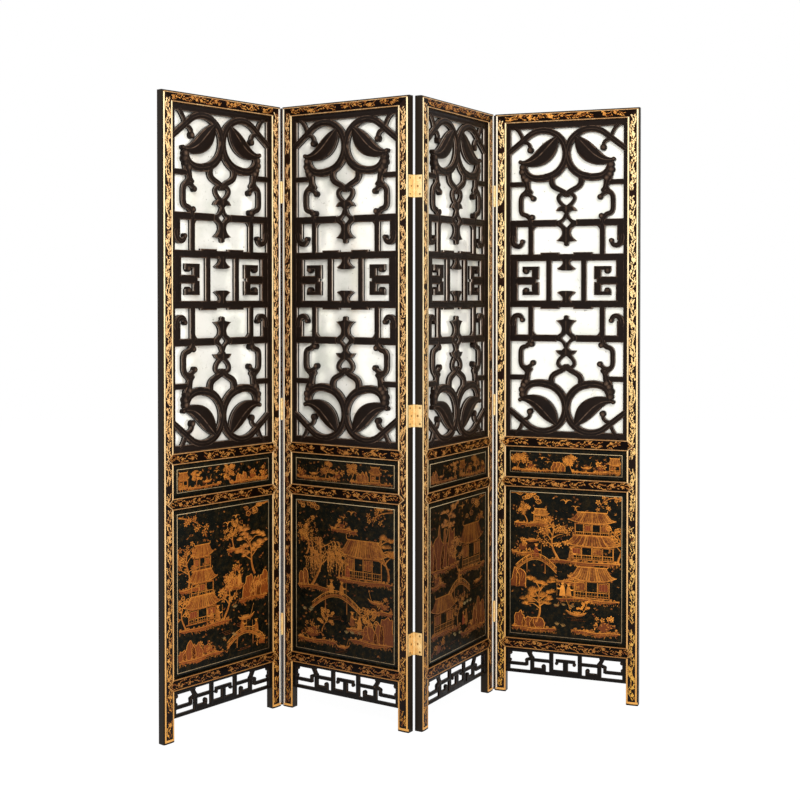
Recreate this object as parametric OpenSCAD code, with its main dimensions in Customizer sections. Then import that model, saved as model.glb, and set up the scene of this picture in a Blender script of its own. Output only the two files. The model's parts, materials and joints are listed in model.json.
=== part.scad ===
// Four-leaf folding lacquer screen: joined frames with fretwork over mirror, fielded panels
// and an apron fret, hung on three butt hinges at each fold.
// Every leaf is drawn flat, x along its width from its left edge, y from its face to its
// back and z up from the floor, and is then turned to its place in the zigzag.

/* [Leaf] */
// Height of a leaf
leaf_h = 1830; // [1500:10:2200]
// Width of a leaf
leaf_w = 457; // [400:1:540]
// Thickness of a leaf
leaf_t = 26; // [26:0.5:34]
// Width of a stile
stile_w = 37; // [34:0.5:50]
// Height of the top rail
top_rail_h = 31; // [28:0.5:44]
// Height of the rails between the panels
rail_h = 33; // [28:0.5:44]
// Height of the frieze panel's opening
frieze_h = 94; // [70:1:140]
// Height of the lower panel's opening
lower_h = 478; // [380:1:560]
// Height of the apron's opening
apron_h = 74; // [66:1:100]
// Clear height under the apron
foot_h = 68; // [40:1:120]
// How far the middle of a frame face stands above its edges
crown = 1.2; // [0.4:0.1:2]
// Radius of the frame's outer corners
edge_r = 3.5; // [1.5:0.1:4]

/* [Zigzag] */
// Angle of leaf 1 from the row
turn_1 = 49.7; // [40:0.1:65]
// Angle of leaf 2 from the row
turn_2 = -32.8; // [-50:0.1:-20]
// Angle of leaf 3 from the row
turn_3 = 59.3; // [45:0.1:70]
// Angle of leaf 4 from the row
turn_4 = -20.7; // [-45:0.1:-10]

/* [Joinery] */
// Depth from the face to the groove
groove_y = 8; // [7:0.1:9]
// Width of the groove, which the frets and tongues fill
groove_t = 6; // [4:0.1:6.5]
// Depth of the groove
groove_d = 6; // [4:0.1:8]
// Length of a tenon
tenon_l = 22; // [16:0.5:26]
// Thickness of a tenon
tenon_t = 10; // [7:0.1:10]
// Shoulder left above and below a tenon
tenon_set = 6; // [4:0.1:8]
// Clearance of a joint, on each side
fit = 0.1; // [0.05:0.01:0.2]
// Clearance at the bottom of a groove or mortise
bottom_gap = 0.8; // [0.3:0.1:1]

/* [Panels] */
// How far the raised field lies behind the frame face
field_y = 3; // [2:0.1:5]
// Width of the bevelled margin round the field
margin_w = 14; // [8:0.5:20]
// Depth from the face to a panel's back
panel_back = 18; // [15.5:0.1:20]

/* [Mirror] */
// Thickness of the mirror glass
glass_t = 3; // [2:0.1:3.5]
// Thickness of the backboard
board_t = 3; // [2.6:0.1:4]
// How far the glass runs behind the frame
glass_lap = 6; // [4:0.1:7]
// How far the backboard runs behind the frame
board_lap = 14; // [13:0.1:15]

/* [Fretwork] */
// Width of the fret's side border
border_side = 13; // [9:0.5:17]
// Height of the fret's top and bottom border
border_top = 20; // [12:0.5:26]
// Width of the fret's upright bars
upright_w = 15; // [9:0.5:18]
// Height of the fret's long cross bars
cross_w = 17; // [10:0.5:20]
// Width of the fret's scrolls at their widest
scroll_w = 18; // [12:0.5:20]
// Width of the fret's thin strapwork
strap_w = 9; // [6:0.5:11]
// Width of the apron's bars
apron_bar = 9; // [6:0.5:11]

/* [Hinges] */
// Height of a hinge
hinge_h = 64; // [50:1:90]
// Height of the top hinge's middle
hinge_top = 1571; // [1380:1:1620]
// Height of the middle hinge's middle
hinge_mid = 911; // [700:1:1000]
// Height of the bottom hinge's middle
hinge_low = 253; // [200:1:400]
// Thickness of a hinge plate
plate_t = 2; // [1.5:0.1:2.5]
// Bare edge left beside a hinge plate
plate_set = 1.5; // [1:0.1:5]
// Radius of a knuckle
knuckle_r = 4; // [3.4:0.1:4.4]
// Radius of a hinge pin
pin_r = 1.75; // [1.4:0.05:2]
// Distance of the pin from the edge of the leaf
pin_gap = 0.75; // [0.6:0.05:1.5]
// Distance of the pin beyond the face of the leaf
pin_out = 1.5; // [1:0.1:3]
// Radius of a screw's shank
screw_r = 1.6; // [1.2:0.1:1.8]
// Radius of a screw's head
screw_head_r = 3.2; // [2.6:0.1:3.4]
// Length of a screw
screw_l = 12; // [10:0.5:13]

/* [Hidden] */
$fn = 32;
LEAF_PARTS = ["left_stile", "right_stile", "top_rail", "frieze_rails", "bottom_rail", "fretwork",
  "mirror", "backboard", "frieze_panel", "lower_panel", "apron_fret", "screws"];

LACQUER = "#2b1a10";
BLACK = "#15130f";
FRET = "#2e1d14";
SILVER = "#d9d9cf";
BRASS = "#c9a85a";
STEEL = "#b49a5c";

// Levels of the openings, up from the floor.
apron_z = foot_h;
bottom_rail_z = apron_z + apron_h;
lower_z = bottom_rail_z + rail_h;
mid_rail_z = lower_z + lower_h;
frieze_z = mid_rail_z + rail_h;
upper_rail_z = frieze_z + frieze_h;
fret_z = upper_rail_z + rail_h;
top_rail_z = leaf_h - top_rail_h;
fret_h = top_rail_z - fret_z;
open_w = leaf_w - 2 * stile_w;
tongue = groove_d - bottom_gap;
mirror_y = leaf_t - board_t - glass_t;
board_y = leaf_t - board_t;
tenon_y = groove_y;
rebate_gap = 0.5;
joint_lap = 2;
top_tenon_rise = 1;

// Place of each leaf in plan. A fold's pin stands before the faces or behind the backs.
turns = [turn_1, turn_2, turn_3, turn_4];
fold_in_front = [true, false, true];
hinge_levels = [hinge_low, hinge_mid, hinge_top];
function along(a) = [cos(a), sin(a)];
function inward(a) = [-sin(a), cos(a)];
function pin_y(k) = fold_in_front[k] ? -pin_out : leaf_t + pin_out;
function pin_after(k) = corner(k) + (leaf_w + pin_gap) * along(turns[k]) + pin_y(k) * inward(turns[k]);
function corner(k) = k == 0 ? [0, 0]
  : pin_after(k - 1) + pin_gap * along(turns[k]) - pin_y(k - 1) * inward(turns[k]);
corner_centres = [for (k = [0:3]) for (x = [edge_r, leaf_w - edge_r])
  for (y = [edge_r + face_y(edge_r, stile_w), leaf_t - edge_r])
    corner(k) + x * along(turns[k]) + y * inward(turns[k])];
plan_x = [for (p = corner_centres) p.x];
plan_y = [for (p = corner_centres) p.y];
plan_middle = [(min(plan_x) + max(plan_x)) / 2, (min(plan_y) + max(plan_y)) / 2];

module place_leaf(n) {
  p = corner(n - 1) - plan_middle;
  translate([p.x, p.y, 0]) rotate([0, 0, turns[n - 1]]) children();
}

// ---- curves and strokes, in the plane of a fret ----
function arc(c, r, a0, a1, n) = [for (i = [0:n]) c + r * along(a0 + (a1 - a0) * i / n)];
function bez(a, b, c, d, n = 7) = [for (i = [0:n]) let (t = i / n)
  pow(1 - t, 3) * a + 3 * pow(1 - t, 2) * t * b + 3 * (1 - t) * t * t * c + t * t * t * d];
function heading(p, i) = let (d = p[min(i + 1, len(p) - 1)] - p[max(i - 1, 0)]) d / norm(d);
function beside(p, i, s) = let (t = heading(p, i)) p[i] + s * [-t.y, t.x];
// A stroke: the outline of a line p whose width runs evenly from w0 to w1.
function stroke(p, w0, w1) = let (n = len(p) - 1) concat(
  [for (i = [0:n]) beside(p, i, (w0 + (w1 - w0) * i / n) / 2)],
  [for (i = [n:-1:0]) beside(p, i, -(w0 + (w1 - w0) * i / n) / 2)]);
// A concave corner filler of radius r, running from corner c towards sx and sy.
function filler(c, r, sx, sy) = concat([c],
  [for (a = [90:-15:0]) c + [sx * (r - r * cos(a)), sy * (r - r * sin(a))]]);

module bar(x0, x1, z0, z1) translate([x0, z0]) square([x1 - x0, z1 - z0]);
module both_sides() { children(); mirror([1, 0]) children(); }
module up_and_down() { children(); mirror([0, 1]) children(); }
// Joins overlapping strokes into one outline.
module joined() offset(delta = 0) union() children();
// Stands a flat drawing (x, z) upright, from depth y0 to depth y1.
module upright(y0, y1) translate([0, y1, 0]) rotate([90, 0, 0]) linear_extrude(y1 - y0) children();

// ---- frame ----
// Depth of the crowned face at distance s from one edge of a member of width w.
function face_y(s, w) = crown * pow(2 * s / w - 1, 2);
function face_line(s0, s1, w, n = 8) =
  [for (i = [0:n]) let (s = s0 + (s1 - s0) * i / n) [s, face_y(s, w)]];
function depth_first(p) = [for (q = p) [q.y, q.x]];

// Section of an outer member: s across from the outer edge, then depth.
function outer_section(w) = concat(
  arc([edge_r, edge_r + face_y(edge_r, w)], edge_r, 180, 262.5, 5),
  face_line(edge_r, w, w),
  [[w, leaf_t]],
  arc([edge_r, leaf_t - edge_r], edge_r, 90, 180, 6));
function inner_section(w) = concat(face_line(0, w, w), [[w, leaf_t], [0, leaf_t]]);

// Triangle by which an inner rail's face is let into a stile at 45 degrees.
function rail_point(z) = [[stile_w, z], [stile_w - rail_h / 2, z + rail_h / 2], [stile_w, z + rail_h]];
inner_rails = [bottom_rail_z, mid_rail_z, upper_rail_z];

// How deep a tenon or, with a gap, its mortise starts in the stile.
function tenon_x(gap) = stile_w - tenon_l - (gap > 0 ? bottom_gap : 0);

module tenon(z, h, gap)
  translate([tenon_x(gap), tenon_y - gap, z + tenon_set - gap])
    cube([tenon_l + joint_lap, tenon_t + 2 * gap, h - 2 * tenon_set + 2 * gap]);

// A top tenon lies under the mitre, and runs a little past it into the rail.
mitre_lap = joint_lap / 2;
function mitre_x(h) = stile_w * (1 - h / top_rail_h) + mitre_lap;
module top_tenon(gap) {
  rise = groove_d + top_tenon_rise - gap;
  translate([tenon_x(gap), tenon_y - gap, top_rail_z + rise])
    cube([mitre_x(rise) - tenon_x(gap), tenon_t + 2 * gap, (top_rail_h - groove_d) / 3 + 2 * gap]);
}

module rail_groove(z) translate([stile_w - groove_d, groove_y - fit, z])
  cube([open_w + 2 * groove_d, groove_t + 2 * fit, groove_d]);

// Rebate behind the fret for the glass and, wider, for the backboard.
module back_rebate() {
  for (r = [[glass_lap, mirror_y], [board_lap, board_y]])
    translate([stile_w - r[0] - rebate_gap, r[1], fret_z - r[0] - rebate_gap])
      cube([open_w + 2 * (r[0] + rebate_gap), leaf_t, fret_h + 2 * (r[0] + rebate_gap)]);
}

// One stile, drawn with its outer edge at x = 0. fold is the hinge line it carries, or -1.
module stile(fold) {
  difference() {
    linear_extrude(leaf_h) polygon(outer_section(stile_w));
    upright(-1, leaf_t + 1) polygon([[0, leaf_h], [stile_w, top_rail_z], [stile_w + 1, top_rail_z],
      [stile_w + 1, leaf_h + 1], [0, leaf_h + 1]]);
    for (z = inner_rails) upright(-1, tenon_y) polygon(rail_point(z));
    for (z = inner_rails) tenon(z, rail_h, fit);
    top_tenon(fit);
    translate([stile_w - groove_d, groove_y - fit, apron_z])
      cube([groove_d + 1, groove_t + 2 * fit, top_rail_z + groove_d - apron_z]);
    back_rebate();
    if (fold >= 0) for (z = hinge_levels) translate([0, 0, z]) hinge_seat(fold_in_front[fold]);
    for (p = board_screws) if (p.x < stile_w) board_screw(p, fit);
  }
}

module left_stile(n) color(LACQUER) stile(n - 2);
module right_stile(n) color(LACQUER)
  translate([leaf_w, 0, 0]) mirror([1, 0, 0]) stile(n < 4 ? n - 1 : -1);

module top_rail() color(LACQUER) {
  difference() {
    union() {
      intersection() {
        translate([0, 0, leaf_h]) mirror([0, 0, 1])
          along_x(leaf_w) polygon(depth_first(outer_section(top_rail_h)));
        upright(-1, leaf_t + 1) polygon([[0, leaf_h], [leaf_w, leaf_h],
          [leaf_w - stile_w, top_rail_z], [stile_w, top_rail_z]]);
      }
      both_ends() intersection() {
        top_tenon(0);
        upright(0, leaf_t) polygon([[0, leaf_h], [mitre_lap, leaf_h],
          [stile_w + mitre_lap, top_rail_z], [0, top_rail_z]]);
      }
    }
    rail_groove(top_rail_z);
    back_rebate();
    for (p = board_screws) board_screw(p, fit);
  }
}

// Sweeps a section (y, z) along x.
module along_x(l) rotate([90, 0, 90]) linear_extrude(l) children();
module both_ends() { children(); translate([leaf_w, 0, 0]) mirror([1, 0, 0]) children(); }

module inner_rail(z) {
  tip = stile_w - rail_h / 2;
  difference() {
    union() {
      intersection() {
        translate([tip, 0, z])
          along_x(leaf_w - 2 * tip) polygon(depth_first(inner_section(rail_h)));
        union() {
          translate([stile_w, -1, z]) cube([open_w, leaf_t + 2, rail_h]);
          both_ends() upright(-1, tenon_y) polygon(rail_point(z));
        }
      }
      both_ends() tenon(z, rail_h, 0);
    }
    rail_groove(z);
    rail_groove(z + rail_h - groove_d);
    back_rebate();
    for (p = board_screws) board_screw(p, fit);
  }
}

module frieze_rails() color(LACQUER) for (z = [mid_rail_z, upper_rail_z]) inner_rail(z);
module bottom_rail() color(LACQUER) inner_rail(bottom_rail_z);

// ---- panels ----
// Section of a panel from edge s0 to edge s1: its face falls in a bevel to the frame.
function field_section(s0, s1) = [[s0, groove_y], [s0 + margin_w, field_y],
  [s1 - margin_w, field_y], [s1, groove_y], [s1, panel_back], [s0, panel_back]];
// A board in the grooves with a raised field.
module fielded_panel(z, h) {
  x0 = stile_w + fit;
  x1 = leaf_w - stile_w - fit;
  z0 = z + fit;
  z1 = z + h - fit;
  translate([x0 - tongue, groove_y, z0 - tongue])
    cube([x1 - x0 + 2 * tongue, groove_t, z1 - z0 + 2 * tongue]);
  intersection() {
    translate([0, 0, z0]) linear_extrude(z1 - z0) polygon(field_section(x0, x1));
    translate([x0, 0, 0]) along_x(x1 - x0) polygon(depth_first(field_section(z0, z1)));
  }
}

module frieze_panel() color(BLACK) fielded_panel(frieze_z, frieze_h);
module lower_panel() color(BLACK) fielded_panel(lower_z, lower_h);

// ---- fretwork ----
// The pattern is drawn on a grid of 24 steps across and 62 steps up from the opening's middle.
gx = open_w / 2 / 24;
gz = fret_h / 2 / 62;
function on_grid(p) = [for (q = p) [q.x * gx, q.y * gz]];
function at(u, v) = [u * gx, v * gz];
half_w = open_w / 2;
half_h = fret_h / 2;
edge_u = half_w - border_side / 2;

loop_mid = [9.5, 49.4];
loop_line = concat([[22.9, 50.6]], arc(loop_mid, 9.3, 48, 262, 18));
sweep_line = bez([7.4, 40.3], [12.8, 39.1], [17, 40.4], [17.2, 45.5], 8);
leaf_shape = concat(
  bez([19.2, 47.1], [13, 45.6], [11, 52.6], [3.9, 56.4]),
  bez([3.3, 55.3], [2.8, 48.4], [9.5, 43.2], [18, 45.4]),
  [[19.1, 45.9], [18.2, 46.5]]);
brace_line = bez([20.4, 60], [19.2, 59], [18.2, 57.6], [17.5, 55.4], 4);
curl_line = bez([17.4, 54.4], [15.5, 54.4], [14.1, 53.2], [14.7, 51.2], 6);
scallops = [[17.5, 44.5], [17.7, 42.6], [17, 40.8], [15.9, 39.5]];
upper_hook = bez([16.5, 39.9], [15.2, 37.2], [16, 34.4], [12.9, 31.6]);
side_scroll = concat(
  bez([14.9, 34.2], [17.6, 34.6], [18.5, 33.2], [18.5, 30.6], 5),
  bez([18.5, 28.4], [18.5, 25.8], [17.2, 25.9], [15.9, 25.5], 5),
  [[14.7, 24.4], [14.2, 22.4]]);
lower_hook = bez([21.3, 16.4], [21.4, 12.6], [17.5, 12.3], [17.3, 15.6]);
ogee_line = bez([5.8, 40], [6.6, 35.2], [2.6, 36.3], [-0.4, 33.2]);
link_line = bez([-0.4, 33.9], [4.5, 33.9], [4.5, 30.8], [-0.5, 28]);
wing_shape = concat(bez([-0.2, 29], [1.6, 29], [3, 28.8], [4.2, 27]),
  bez([4.2, 27], [3.2, 27.8], [2, 27.3], [1, 26.2]), [[-0.2, 26]]);
spindle_shape = concat([[-0.2, 27]],
  bez([0.9, 27], [0.9, 24.4], [1.8, 23.4], [4.3, 23.2]),
  [[4.5, 21.6]],
  bez([4.4, 21.4], [1.7, 21.3], [1.7, 19.5], [1.5, 18], 6),
  bez([1.45, 17.8], [1.2, 16.6], [2.4, 15.7], [4, 15.4], 5),
  [[1.2, 15.1], [0.65, 14.6], [0.65, 13.6], [-0.2, 13.4]]);
finial_shape = concat([[-0.2, 8.4], [2.3, 8.4]], bez([2.1, 8], [0.5, 7.4], [0.9, 6], [3.5, 4.8]),
  [[2.6, 4.1], [1, 4.6], [-0.2, 4.2]]);
diamond = [[0, 24.2], [1.8, 22.3], [0, 20.5], [-1.8, 22.3]];

// One quarter of the pattern, for the right side and the upper half.
module fret_quarter($fn = 16) {
  polygon(stroke(on_grid(loop_line), scroll_w * 0.8, scroll_w * 1.15));
  polygon(stroke(on_grid(sweep_line), scroll_w * 1.15, scroll_w * 0.9));
  polygon(on_grid(leaf_shape));
  polygon(stroke(on_grid(brace_line), strap_w, strap_w));
  polygon(stroke(on_grid(curl_line), strap_w, strap_w));
  translate(at(14.7, 51.2)) circle(strap_w * 0.6);
  for (c = scallops) translate(at(c.x, c.y)) circle(strap_w);
  bar(15.5 * gx, edge_u, 37.8 * gz - upright_w / 2, 37.8 * gz + upright_w / 2);
  polygon(stroke(on_grid(upper_hook), scroll_w * 1.2, strap_w * 0.9));
  polygon(stroke(on_grid(side_scroll), upright_w * 0.9, upright_w * 0.9));
  translate(at(13.8, 24.8)) circle(strap_w * 0.8);
  bar(14.2 * gx - upright_w / 2, 14.2 * gx + upright_w / 2, 9 * gz, 22.35 * gz);
  polygon(filler([14.2 * gx - upright_w / 2, 22.35 * gz - cross_w / 2] + [0.2, 0.2], 2.4 * gx, -1, -1));
  bar(20.3 * gx, edge_u, 15.4 * gz, 22.35 * gz);
  polygon(stroke(on_grid(lower_hook), strap_w * 1.5, strap_w * 0.8));
  bar(3.4 * gx, 10.5 * gx, 9 * gz, 11 * gz);
  polygon(stroke(on_grid(ogee_line), upright_w * 1.15, strap_w * 1.3));
  polygon(stroke(on_grid(link_line), strap_w, strap_w));
  polygon(on_grid(wing_shape));
  polygon(on_grid(spindle_shape));
  polygon(on_grid(finial_shape));
}

// A square hooked key beside the middle bar.
module fret_key() {
  bar(11.4 * gx, 13.4 * gx, 1 * gz, 5.5 * gz);
  bar(11.4 * gx, 17.3 * gx, 4.2 * gz, 5.5 * gz);
  bar(16 * gx, 17.3 * gx, 2.9 * gz, 5.5 * gz);
  bar(15.2 * gx, 17.3 * gx, 2.9 * gz, 3.8 * gz);
}

module fret_drawing() joined() {
  difference() {
    square([open_w + 2 * tongue, fret_h + 2 * tongue], center = true);
    square([open_w - 2 * border_side, fret_h - 2 * border_top], center = true);
  }
  difference() {
    union() {
      both_sides() up_and_down() fret_quarter();
      up_and_down() bar(-edge_u, edge_u, 22.35 * gz - cross_w / 2, 22.35 * gz + cross_w / 2);
    }
    up_and_down() polygon(on_grid(diamond));
  }
  up_and_down() bar(-edge_u, edge_u, 9 * gz - cross_w / 2, 9 * gz + cross_w / 2);
  both_sides() {
    up_and_down() fret_key();
    bar(6.95 * gx - upright_w / 2, 6.95 * gx + upright_w / 2, -9 * gz, 9 * gz);
    bar(20.3 * gx, edge_u, -9 * gz, 9 * gz);
    bar(11.4 * gx, 21 * gx, -1.6 * gz, 1.6 * gz);
  }
}

module fretwork() color(FRET)
  translate([leaf_w / 2, 0, fret_z + half_h]) upright(groove_y, groove_y + groove_t) fret_drawing();

// ---- apron ----
// Heights are steps of a 74-step grid, down from the bottom rail.
az = apron_h / 74;
module apron_side() {
  cross = apron_bar;
  bar(half_w - apron_bar * 1.8, half_w, -47 * az, 0);
  bar(5.3 * gx - cross / 2, 5.3 * gx + cross / 2, -apron_h, 0);
  bar(5.3 * gx, 13.8 * gx, -28.5 * az - cross / 2, -28.5 * az + cross / 2);
  polygon(stroke([[15.8 * gx, -2], [13.6 * gx, -28.5 * az]], cross, cross));
  polygon(stroke([[13.6 * gx, -26 * az], [16.3 * gx, -45 * az]], cross, cross));
  bar(16.2 * gx, half_w, -47 * az - cross * 0.4, -47 * az + cross * 0.4);
  bar(13.5 * gx - cross / 2, 13.5 * gx + cross / 2, -apron_h, -28.5 * az);
  bar(8.9 * gx, 13.5 * gx, -apron_h, -57 * az);
  bar(8.3 * gx, 10.2 * gx, -57.5 * az, -50.5 * az);
  bar(3.1 * gx, 3.9 * gx, -33 * az, -24.5 * az);
}

module apron_drawing() joined() {
  difference() {
    translate([-half_w - tongue, -apron_h]) square([open_w + 2 * tongue, apron_h + tongue]);
    translate([-half_w + apron_bar * 1.2, -apron_h + apron_bar])
      square([open_w - 2.4 * apron_bar, apron_h - 1.8 * apron_bar]);
  }
  both_sides() apron_side();
  bar(-3.9 * gx, 3.9 * gx, -24.5 * az - apron_bar / 2, -24.5 * az + apron_bar / 2);
  bar(-apron_bar * 0.65, apron_bar * 0.65, -apron_h, -24.5 * az);
  bar(-5.3 * gx, 5.3 * gx, -apron_h, -57 * az);
}

module apron_fret() color(FRET)
  translate([leaf_w / 2, 0, bottom_rail_z]) upright(groove_y, groove_y + groove_t) apron_drawing();

// ---- mirror and back ----
module mirror_plate() color(SILVER)
  translate([stile_w - glass_lap, mirror_y, fret_z - glass_lap])
    cube([open_w + 2 * glass_lap, glass_t, fret_h + 2 * glass_lap]);

module backboard() color(BLACK) difference() {
  translate([stile_w - board_lap, board_y, fret_z - board_lap])
    cube([open_w + 2 * board_lap, board_t, fret_h + 2 * board_lap]);
  for (p = board_screws) board_screw(p, fit / 2);
}

// ---- screws ----
// A countersunk screw from the surface z = 0 down into -z. gap widens it to a hole.
module screw(gap) {
  translate([0, 0, -plate_t]) cylinder(h = plate_t, r1 = screw_r + gap, r2 = screw_head_r + gap);
  translate([0, 0, -screw_l - gap]) cylinder(h = screw_l + gap - plate_t / 2, r = screw_r + gap);
}

slot_w = 0.8;
slot_d = 0.9;
module cut_screw() difference() {
  screw(0);
  translate([-screw_head_r - 1, -slot_w / 2, -slot_d]) cube([2 * screw_head_r + 2, slot_w, slot_d + 1]);
}

// Places of the backboard's screws, in the middle of its lap: three up each side, two across
// the top and two across the bottom.
screw_in = (glass_lap + rebate_gap + board_lap) / 2;
screw_rise = 0.42;
board_screws = concat(
  [for (x = [stile_w - screw_in, leaf_w - stile_w + screw_in]) for (i = [-1:1])
    [x, fret_z + fret_h * (0.5 + screw_rise * i)]],
  [for (z = [fret_z - screw_in, top_rail_z + screw_in]) for (s = [-1, 1])
    [leaf_w / 2 + s * open_w / 4, z]]);

module board_screw(p, gap) translate([p.x, leaf_t, p.y]) rotate([-90, 0, 0]) screw(gap);

plate_screws = [[leaf_t * 0.68, -hinge_h * 0.36], [leaf_t * 0.4, 0], [leaf_t * 0.68, hinge_h * 0.36]];

// ---- hinges, drawn beside an edge at x = 0 with the pin before the face ----
knuckle_h = hinge_h / 5;
turn_gap = 0.4;
end_gap = 0.1;
tip_h = 1.5;
tip_r = knuckle_r * 0.8;

module to_pin_side(front) {
  if (front) children();
  else translate([0, leaf_t, 0]) mirror([0, 1, 0]) children();
}
module on_pin() translate([-pin_gap, -pin_out, 0]) children();
module knuckle(i, r, gap) on_pin() translate([0, 0, -hinge_h / 2 + i * knuckle_h + gap])
  cylinder(h = knuckle_h - 2 * gap, r = r);

// Where the wood is cut away for a plate and for the knuckles.
module hinge_seat(front) to_pin_side(front) {
  translate([-1, -1, -hinge_h / 2 - fit])
    cube([plate_t + 1, leaf_t - plate_set + fit + 1, hinge_h + 2 * fit]);
  on_pin() translate([0, 0, -hinge_h / 2 - tip_h - turn_gap])
    cylinder(h = hinge_h + 2 * (tip_h + turn_gap), r = knuckle_r + turn_gap);
  for (p = plate_screws) translate([0, p.x, p.y]) rotate([0, -90, 0]) screw(fit);
}

// A plate with its own knuckles, clear of the other plate's.
module hinge_plate(front, own, other) to_pin_side(front) difference() {
  union() {
    translate([0, -pin_out, -hinge_h / 2]) cube([plate_t, leaf_t - plate_set + pin_out, hinge_h]);
    for (i = own) knuckle(i, knuckle_r, i == 0 || i == 4 ? 0 : end_gap);
  }
  for (i = other) knuckle(i, knuckle_r + turn_gap, -end_gap);
  on_pin() translate([0, 0, -hinge_h]) cylinder(h = 2 * hinge_h, r = pin_r + fit / 2);
  for (p = plate_screws) translate([0, p.x, p.y]) rotate([0, -90, 0]) screw(fit / 2);
}

outer_knuckles = [0, 2, 4];
inner_knuckles = [1, 3];

module left_plates(k) color(BRASS) place_leaf(k)
  for (z = hinge_levels) translate([leaf_w, 0, z]) mirror([1, 0, 0])
    hinge_plate(fold_in_front[k - 1], outer_knuckles, inner_knuckles);

module right_plates(k) color(BRASS) place_leaf(k + 1)
  for (z = hinge_levels) translate([0, 0, z])
    hinge_plate(fold_in_front[k - 1], inner_knuckles, outer_knuckles);

module hinge_pin() on_pin() {
  translate([0, 0, -hinge_h / 2]) cylinder(h = hinge_h, r = pin_r);
  for (s = [0, 1]) mirror([0, 0, s]) translate([0, 0, hinge_h / 2]) cylinder(h = tip_h, r = tip_r);
}

module pins(k) color(BRASS) place_leaf(k)
  for (z = hinge_levels) translate([leaf_w, 0, z]) mirror([1, 0, 0])
    to_pin_side(fold_in_front[k - 1]) hinge_pin();

module screws(n) color(STEEL) {
  for (p = board_screws) translate([p.x, leaf_t, p.y]) rotate([-90, 0, 0]) cut_screw();
  if (n > 1) edge_screws(n - 2);
  if (n < 4) translate([leaf_w, 0, 0]) mirror([1, 0, 0]) edge_screws(n - 1);
}
module edge_screws(k) for (z = hinge_levels) translate([0, 0, z]) to_pin_side(fold_in_front[k])
  for (p = plate_screws) translate([0, p.x, p.y]) rotate([0, -90, 0]) cut_screw();

// ---- nodes ----
module leaf_part(n, part) place_leaf(n) {
  if (part == "left_stile") left_stile(n);
  if (part == "right_stile") right_stile(n);
  if (part == "top_rail") top_rail();
  if (part == "frieze_rails") frieze_rails();
  if (part == "bottom_rail") bottom_rail();
  if (part == "fretwork") fretwork();
  if (part == "mirror") mirror_plate();
  if (part == "backboard") backboard();
  if (part == "frieze_panel") frieze_panel();
  if (part == "lower_panel") lower_panel();
  if (part == "apron_fret") apron_fret();
  if (part == "screws") screws(n);
}

for (n = [1:4]) for (part = LEAF_PARTS)
  leaf_part(n, part);
for (k = [1:3]) left_plates(k);
for (k = [1:3]) right_plates(k);
for (k = [1:3]) pins(k);
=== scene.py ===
"""A four-leaf lacquer folding screen: carved frets before antique mirror, gilt
lines and sprays on crowned frames, and gilt pictures on raised panels."""

import json
import math

import bpy
import numpy as np
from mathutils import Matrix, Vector

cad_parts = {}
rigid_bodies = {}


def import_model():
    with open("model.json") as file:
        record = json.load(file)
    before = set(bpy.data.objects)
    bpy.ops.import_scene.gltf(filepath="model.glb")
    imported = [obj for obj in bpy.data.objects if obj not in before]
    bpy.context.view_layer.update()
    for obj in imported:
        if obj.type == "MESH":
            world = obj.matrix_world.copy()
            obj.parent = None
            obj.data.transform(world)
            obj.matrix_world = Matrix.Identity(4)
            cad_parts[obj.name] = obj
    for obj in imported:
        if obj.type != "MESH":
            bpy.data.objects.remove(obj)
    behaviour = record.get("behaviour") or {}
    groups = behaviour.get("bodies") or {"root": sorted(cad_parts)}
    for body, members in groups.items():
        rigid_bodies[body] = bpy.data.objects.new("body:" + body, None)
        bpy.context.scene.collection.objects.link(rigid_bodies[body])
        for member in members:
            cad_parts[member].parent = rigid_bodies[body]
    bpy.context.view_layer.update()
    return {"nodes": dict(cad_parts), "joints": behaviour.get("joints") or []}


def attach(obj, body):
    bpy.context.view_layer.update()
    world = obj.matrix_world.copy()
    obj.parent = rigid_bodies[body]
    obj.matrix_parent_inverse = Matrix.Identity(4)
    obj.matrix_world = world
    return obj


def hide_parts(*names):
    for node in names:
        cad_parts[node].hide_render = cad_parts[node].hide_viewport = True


bl_info = {
    "name": "Lacquer Folding Screen",
    "version": (1, 0, 0),
    "blender": (4, 5, 0),
    "location": "View3D > Sidebar > Screen",
    "description": "Builds the looks of a four-leaf lacquer screen",
    "category": "Add Mesh",
}

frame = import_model()

MM = 0.001
TURNS = (49.7, -32.8, 59.3, -20.7)      # each leaf's turn in plan, in degrees

# A leaf's sizes, in millimetres
LEAF_H, LEAF_W, LEAF_T = 1830.0, 457.0, 26.0
STILE_W, TOP_RAIL_H, RAIL_H = 37.0, 31.0, 33.0
CROWN = 1.2            # how far a member's middle stands before its edges
FOOT_H, APRON_H, LOWER_H, FRIEZE_H = 68.0, 74.0, 478.0, 94.0
APRON_TOP = FOOT_H + APRON_H
LOWER = (APRON_TOP + RAIL_H, APRON_TOP + RAIL_H + LOWER_H)
FRIEZE = (LOWER[1] + RAIL_H, LOWER[1] + RAIL_H + FRIEZE_H)
FRET = (FRIEZE[1] + RAIL_H, LEAF_H - TOP_RAIL_H)
RAILS = ((APRON_TOP, LOWER[0]), (LOWER[1], FRIEZE[0]), (FRIEZE[1], FRET[0]))
OPEN = (STILE_W, LEAF_W - STILE_W)
HALF_W = (OPEN[1] - OPEN[0]) / 2
FIELD_Y, PANEL_BACK = 3.0, 18.0       # depths of the raised fields and backs
MARGIN = 14.1                         # from an opening to its raised field
MID_X = LEAF_W / 2

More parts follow.
